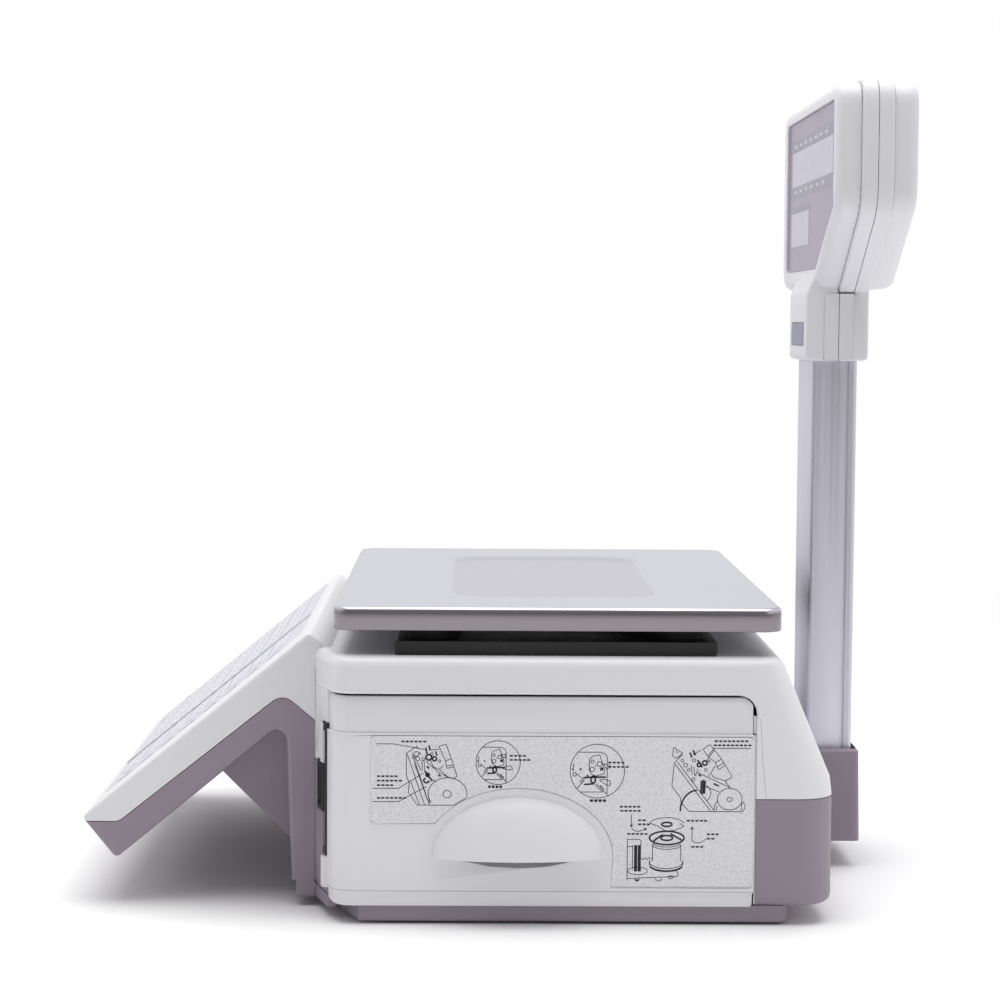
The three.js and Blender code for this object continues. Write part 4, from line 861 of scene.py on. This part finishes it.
def turned_drawer():
    """The drawer seen from the other side, with the take-up and the web's path."""
    strokes = [
        [(165, 8.9), (160.7, 13.7), (159.5, 26.1), (164.1, 32.2), (164.4, 34.7), (168.7, 39.6),
         (197.4, 39.6), (198.6, 37), (197.4, 34)],
        [(161.1, 14.4), (180.4, 39.6)], [(162.4, 13.2), (182.2, 39.3)],
        closed((160.3, 5.3), (165, 8.4), (161.9, 11.2), (159.6, 9.8)), [(161.4, 7.4), (162.6, 8.2)],
        closed((175.9, 6.2), (179.5, 3.7), (181.4, 6), (178.3, 10.1)),
        [(181.4, 6), (185.7, 11.4), (182.5, 13.3), (178.3, 10.1)],
        [(185.7, 11.4), (187.8, 14.8), (184.1, 17.2), (182.5, 13.3)], [(183.2, 15.8), (187, 13.4)],
        [(187.8, 14.8), (191.5, 21), (188.2, 23.1), (181.8, 21.5), (180, 19), (182.4, 15)],
        [(172.9, 18.7), (190, 26.5)], [(177.2, 26.1), (184.6, 29)], [(187.6, 23.2), (190.6, 26.9)],
        oval((175.6, 29.8), (4.6, 4.8), -60, 60), oval((190.3, 32.9), (6.6, 5.8)),
        oval((190.3, 33.1), (1.4, 1.2)), [(182, 39), (182.4, 36), (184, 33.6)],
        [(183.2, 39), (183.6, 36.4)], [(196.8, 34.4), (196.6, 39)], [(169.6, 15), (170.2, 20)],
        [(171, 15.6), (171.6, 20.4)], [(173.4, 17), (171.8, 20.6)], [(179, 19), (179.2, 21)],
        [(170.6, 9.2), (174.9, 6.6)], [(181.4, 5.7), (201.2, 5.7)], [(182, 6.4), (177.4, 12.8)],
    ]
    heavy = [oval((173.3, 39.6), (9.2, 11.4), 180, 268)[::-1], [(176.2, 22.6), (175.9, 30.4)],
             [(175.2, 23), (174.9, 30)], [(177.1, 23), (176.8, 30)], [(181.6, 24.6), (184.4, 25.9)],
             [(173.6, 19.8), (175, 20.6)], [(170.6, 6.8), (171.8, 9.6)], [(168.8, 8), (170, 10.8)],
             [(173, 12), (175.6, 16)], oval((176.9, 13.6), (1.2, 1.2)), oval((173.8, 14.6), (1, 1))]
    gears = [(166.6, 14.8, 1.1), (168.3, 17.3, 0.8), (177.4, 17.3, 0.8), (165, 12.4, 0.8),
             (171.2, 12.2, 0.9), (179.1, 12.6, 0.6), (170.8, 22.4, 0.9)]
    return strokes + gear_rings(gears), heavy


def enlarged_head(middle, size, lever_down):
    """A round view of the print head inside its case, with its lever up or down."""
    drawn_size = 14.4
    strokes = [
        oval((0, 0), (drawn_size, drawn_size), steps=64),
        [(-10.2, -10.1), (1.8, -10.1), (4.2, -9.2), (5.2, -7.4), (5.2, 13.4)],
        [(-8.8, 11.2), (3, 11.2), (-1.4, 7.2)], [(-0.6, 6.6), (5.2, 12.4)],
        closed((-4.3, -6.3), (-2.5, -8), (1.2, -8.9), (1.8, -6.6), (3.8, -1), (3.5, 1.5),
               (-0.8, 2.6), (-3.1, 1.7), (-4.3, -0.6)),
        [(-12, 0.6), (-6.8, 4.9), (-10.6, 9.2)], [(-12.6, -4), (-12.8, 0.2), (-13.6, -1.6)],
    ]
    lever = [closed((1.2, 4.9), (3.2, 4.3), (6.9, 5.2), (6.8, 8.1), (4.1, 6.9)),
             closed((3.2, -4), (6.9, -3.1), (5.2, -0.8))]
    turn = math.radians(0 if lever_down else -24)
    spin = np.array([[math.cos(turn), -math.sin(turn)], [math.sin(turn), math.cos(turn)]])
    strokes += [np.array(line) @ spin.T for line in lever]
    heavy = [[(-7.4, 3.6), (-4.4, 3.4), (-1.4, 3.2), (4.6, 3.2)], [(-7, 7.2), (-1.8, 6.8)],
             oval((-2.2, 4.6), (1.2, 1.9), steps=16), oval((2.3, -1.2), (0.6, 0.6), steps=10),
             oval((-5.1, 2.5), (0.3, 0.3), steps=8), oval((-8.9, -1), (0.3, 0.3), steps=8)]
    gears = [(-2.7, -5, 0.9), (1.1, -3.8, 1.3), (-2.7, -0.9, 1.2), (-12, 1.8, 1.0),
             (-8.4, 5.6, 0.8), (-1.1, -2.9, 0.3), (2, 8.2, 0.5), (3.2, 9.4, 0.5)]
    strokes += gear_rings(gears)
    return [[np.array(middle) + np.asarray(line, float) * size / drawn_size for line in lines]
            for lines in (strokes, heavy)]


def roll_change():
    """The roll on its spindle with the lock above it, the take-up beside it, and arrows."""
    lid, top, foot = (157.1, 46.6), (157.1, 53.9), (156.9, 67.7)
    strokes = [
        oval(lid, (9.2, 3.6), 190, 350),
        [(148, 46), (152, 47.4), (156.6, 50.2), (161, 49.9), (166.2, 47.6), (164, 46)],
        [(149.6, 57.4), (149.6, 66.4)], [(164.6, 57.4), (164.6, 66.2)],
        oval((157.1, 57.6), (7.5, 2.4), 0, 180), oval((157.1, 56.4), (7.5, 2.4), 10, 170),
        oval(foot, (9, 3.8), -20, 200), oval((156.9, 66.6), (9, 3.8), -10, 190),
        [(142.7, 54.7), (136.2, 54.7), (136.2, 76.6)], [(142.7, 54.7), (143.7, 56.3), (143.1, 57.9)],
        [(136.2, 58.7), (139.7, 58.3)], oval((141.7, 71.7), (5.3, 2)), [(139, 58), (139, 71)],
        [(136.2, 75.8), (149, 75.2), (162.8, 74.6), (163.6, 73), (162, 71.3)],
        oval((153, 75.6), (1.7, 1.4), 0, 180), oval((159.5, 75), (1.4, 0.8)),
        [(143.7, 64.8), (144.8, 65.8), (145.8, 64.2), (146.8, 65.8), (147.8, 64.4), (149.4, 65.4)],
        [(138.2, 41.3), (138.2, 48.2)], arrow((138.2, 48.2), (0, 1)),
        [(138.4, 48.6), (139.6, 50), (142.1, 50.4), (146.2, 49)], arrow((146.4, 48.9), (1, -0.3)),
        [(170.5, 55.5), (170.5, 47.8)], arrow((170.5, 47.8), (0, -1)),
        [(170.7, 55.4), (172, 56.4), (175, 56.4), (178.2, 54.3)],
    ]
    heavy = [oval(top, (9.2, 3.6), steps=40), oval(top, (3.2, 1.3)), oval(lid, (2.8, 1.1)),
             [(150, 55.6), (155, 52)], [(159, 51.6), (165, 55)],
             oval((156.9, 68.6), (8.6, 3.2), 10, 170)]
    heavy += [[(u, 57.8), (u, 72)] for u in (140.3, 141, 142.2, 143)]
    heavy += [oval((141.5, 76), (1, 0.9), 0, 180)]
    return strokes, heavy


def caption_bars():
    """Blank bars where captions go: each line is a row of short dashes."""
    rows = [(16, 2.8, 12), (3.2, 21.4, 11), (3.2, 23.8, 12), (3.2, 26.2, 9), (3.2, 33, 14.5),
            (73.4, 10.2, 9), (73.4, 12.4, 10), (125.6, 13.6, 9), (125.6, 15.9, 10),
            (182, 1.9, 18), (181.4, 4.1, 19), (132, 37.2, 11), (132.2, 39.4, 9.5),
            (141.8, 44.4, 4), (141.8, 46.6, 5), (136, 51.8, 9.5), (167.6, 44.6, 10.5),
            (178.4, 51.8, 5.4), (178.4, 54.2, 3.6), (170.2, 58.6, 6)]
    bars = []
    for u, v, length in rows:
        start = u + np.arange(0, length, 2.3)
        bars += [[(s, v), (s + 1.7, v)] for s in start]
    wide = [[(s, 26.8), (s + 1.5, 26.8)] for s in 62 + np.arange(4) * 2.0]
    wide += [[(s, 34), (s + 1.8, 34)] for s in 116 + np.arange(4) * 2.3]
    return bars, wide


def make_film_drawings():
    """Black line drawings on the film, and the bars that stand for captions."""
    fine, heavy = [], []
    for strokes, bold in (open_drawer(), turned_drawer(), roll_change(),
                          enlarged_head((67.3, 13.9), 11.7, False),
                          enlarged_head((119.9, 18.2), 14.4, True)):
        fine += strokes
        heavy += bold
    bars, wide = caption_bars()
    kinds = ((fine, 0.42, 0.6), (heavy, 0.95, 0.5), (bars, 0.95, 1), (wide, 1.4, 1))
    lines = [ribbon(line, width, on_film, 0.05, step) for kind, width, step in kinds
             for line in kind]
    make_piece("film_drawings", lines, "ink", "drawer", "label_film")


# ---------------------------------------------------------------- label web and small metalwork

def make_label_web():
    """The web from the roll through the sensor and past the roller, as a thin strip carried
    along its path in plan. It ends inside the slot."""
    path = evenly([(162, 158), (161.4, 120), (161, 92), (161, 76), (160.2, 60), (158.3, 38),
                   (158.2, 20), (158.9, 10), (162.6, 1), (164.1, -3.4)], 3)
    along = unit(np.gradient(path, axis=0))
    side = np.stack([-along[:, 1], along[:, 0]], axis=1) * 0.07
    across = np.array([1, -1, -1, 1])[None, :, None]
    corners = path[:, None] + side[:, None] * across
    height = np.array([30, 30, 86, 86])[None, :, None] + 0 * corners[..., :1]
    make_piece("label_web", [np.concatenate([corners, height], axis=-1)[None]],
               "web_paper", "drawer", "label_paper")


def screw(centre, lay, radius):
    """A pan-head screw with a recessed hexagon: the head's profile turned about its axis."""
    profile = radius * np.array([(0.3, 0), (1, 0), (1, 0.35), (0.75, 0.62), (0.5, 0.68),
                                 (0.45, 0.3), (0.05 / radius, 0.3)])
    return turned(profile, centre, lay)


def make_screws():
    """Screws under the base, behind the pole's socket, and over the load cell's spacer."""
    base = [(-120, 30), (0, 30), (120, 30), (-120, 230), (0, 130), (120, 230), (-165, 130),
            (165, 130)]
    socket = [(-28, 30), (28, 30), (-28, 58), (28, 58)]
    spacer = [(-9, 157), (9, 157), (-9, 179), (9, 179)]
    groups = {
        "base_screws": (base, facing("z", 6.5, -1), 3.2),
        "pole_base_screws": (socket, facing("y", box_mm("pole_base")[1][1] - 0.6), 2.6),
        "spacer_screws": (spacer, facing("z", box_mm("platform_support")[1][2]), 3),
    }
    for name, (places, lay, radius) in groups.items():
        heads = [screw(place, lay, radius) for place in places]
        make_piece(name, heads, "zinc_steel", "housing", "zinc_steel")


# ---------------------------------------------------------------- floor, light and camera

def make_floor():
    """A pale floor: a flat round sheet that fades into the white surround towards its rim."""
    reach_m, fade_from, fade_to = 1.9, 0.75, 1.7
    rim = oval((0, 0), (reach_m, reach_m), 0, 352.5, 48)
    mesh = bpy.data.meshes.new("floor")
    mesh.from_pydata(np.column_stack([rim, np.zeros(len(rim))]).tolist(), [],
                     [list(range(len(rim)))])
    floor = link(bpy.data.objects.new("floor", mesh))
    material, tree, shader = new_material("paper_backdrop", 0.95)
    place = add_node(tree, "ShaderNodeTexCoord").outputs["Object"]
    fibre = add_node(tree, "ShaderNodeTexNoise", {"Vector": place, "Scale": 3.0, "Detail": 1.0})
    tint = add_node(tree, "ShaderNodeMix", {
        "Factor": fibre.outputs["Fac"], DARK: linear("#fafafa"), LIGHT: linear("#fcfcfc")},
        data_type="RGBA")
    reach = add_node(tree, "ShaderNodeVectorMath", {0: place}, operation="LENGTH")
    fade = add_node(tree, "ShaderNodeMapRange", {
        "Value": reach.outputs["Value"], "From Min": fade_from, "From Max": fade_to},
        interpolation_type="SMOOTHSTEP")
    clear = add_node(tree, "ShaderNodeBsdfTransparent")
    blend = add_node(tree, "ShaderNodeMixShader", {
        0: fade.outputs["Result"], 1: shader.outputs["BSDF"], 2: clear.outputs["BSDF"]})
    connect(tree, shader, Base_Color=tint.outputs[MIXED])
    tree.links.new(blend.outputs["Shader"], tree.nodes["Material Output"].inputs["Surface"])
    mesh.materials.append(material)


def add_light(name, place, size, power):
    """A soft rectangular light aimed at the middle of the scale."""
    lamp = bpy.data.lights.new(name, "AREA")
    lamp.shape = "RECTANGLE"
    lamp.size, lamp.size_y = size
    lamp.energy = power
    made = link(bpy.data.objects.new(name, lamp))
    made.location = place
    aim = Vector((0, 0, 0.18)) - Vector(place)
    made.rotation_euler = aim.to_track_quat("-Z", "Y").to_euler()


def make_light():
    """A white surround whose light is dimmer from behind the camera, and two soft boxes."""
    world = bpy.data.worlds.new("studio")
    world.use_nodes = True
    tree = world.node_tree
    back = tree.nodes["Background"]
    place = add_node(tree, "ShaderNodeTexCoord").outputs["Generated"]
    apart = add_node(tree, "ShaderNodeSeparateXYZ", {"Vector": place})
    level = add_node(tree, "ShaderNodeMapRange", {
        "Value": apart.outputs["X"], "From Min": 0.0, "From Max": 0.7,
        "To Min": 0.86, "To Max": 0.24}, interpolation_type="SMOOTHSTEP")
    seen = add_node(tree, "ShaderNodeLightPath").outputs["Is Camera Ray"]
    strength = add_node(tree, "ShaderNodeMath", {0: level.outputs["Result"], 1: seen},
                        operation="MAXIMUM")
    tree.links.new(strength.outputs["Value"], back.inputs["Strength"])
    back.inputs["Color"].default_value = (1, 1, 1, 1)
    bpy.context.scene.world = world
    add_light("top_box", (0.1, 0.0, 1.9), (2.0, 2.0), 30)
    add_light("rear_side_box", (1.2, 1.4, 0.6), (1.2, 1.0), 3)


def make_camera():
    """A long lens on the drawer's side, 1.3 m off, looking along -X and a little down."""
    eye_mm, lens_mm, sensor_mm = (1497.73, 72.63, 320.52), 90.15, 36.0
    yaw, pitch, roll = (math.radians(a) for a in (0.687, 4.07, 0.3746))
    ahead = Vector((-math.cos(yaw), math.sin(yaw), 0))
    across = Vector((math.sin(yaw), math.cos(yaw), 0))
    up = Vector((0, 0, 1))
    forward = math.cos(pitch) * ahead - math.sin(pitch) * up
    above = math.sin(pitch) * ahead + math.cos(pitch) * up
    right = math.cos(roll) * across + math.sin(roll) * above
    above = -math.sin(roll) * across + math.cos(roll) * above
    camera = bpy.data.cameras.new("camera")
    camera.sensor_width = sensor_mm
    camera.lens = lens_mm
    made = link(bpy.data.objects.new("camera", camera))
    eye = Vector((BASE + np.array(eye_mm) * MM).tolist())
    turn = Matrix((right, above, -forward)).transposed().to_4x4()
    made.matrix_world = Matrix.Translation(eye) @ turn
    bpy.context.scene.camera = made


finish_solids()
make_door_bead()
make_panel_lines()
make_groove_shade_lines()
make_corner_skirt()
make_outlet_lips()
make_door_reveal()
make_pan()
make_support_aprons()
make_keys()
make_displays()
make_film_drawings()
make_label_web()
make_screws()
make_floor()
make_light()
make_camera()
bpy.context.scene.view_settings.view_transform = "Standard"
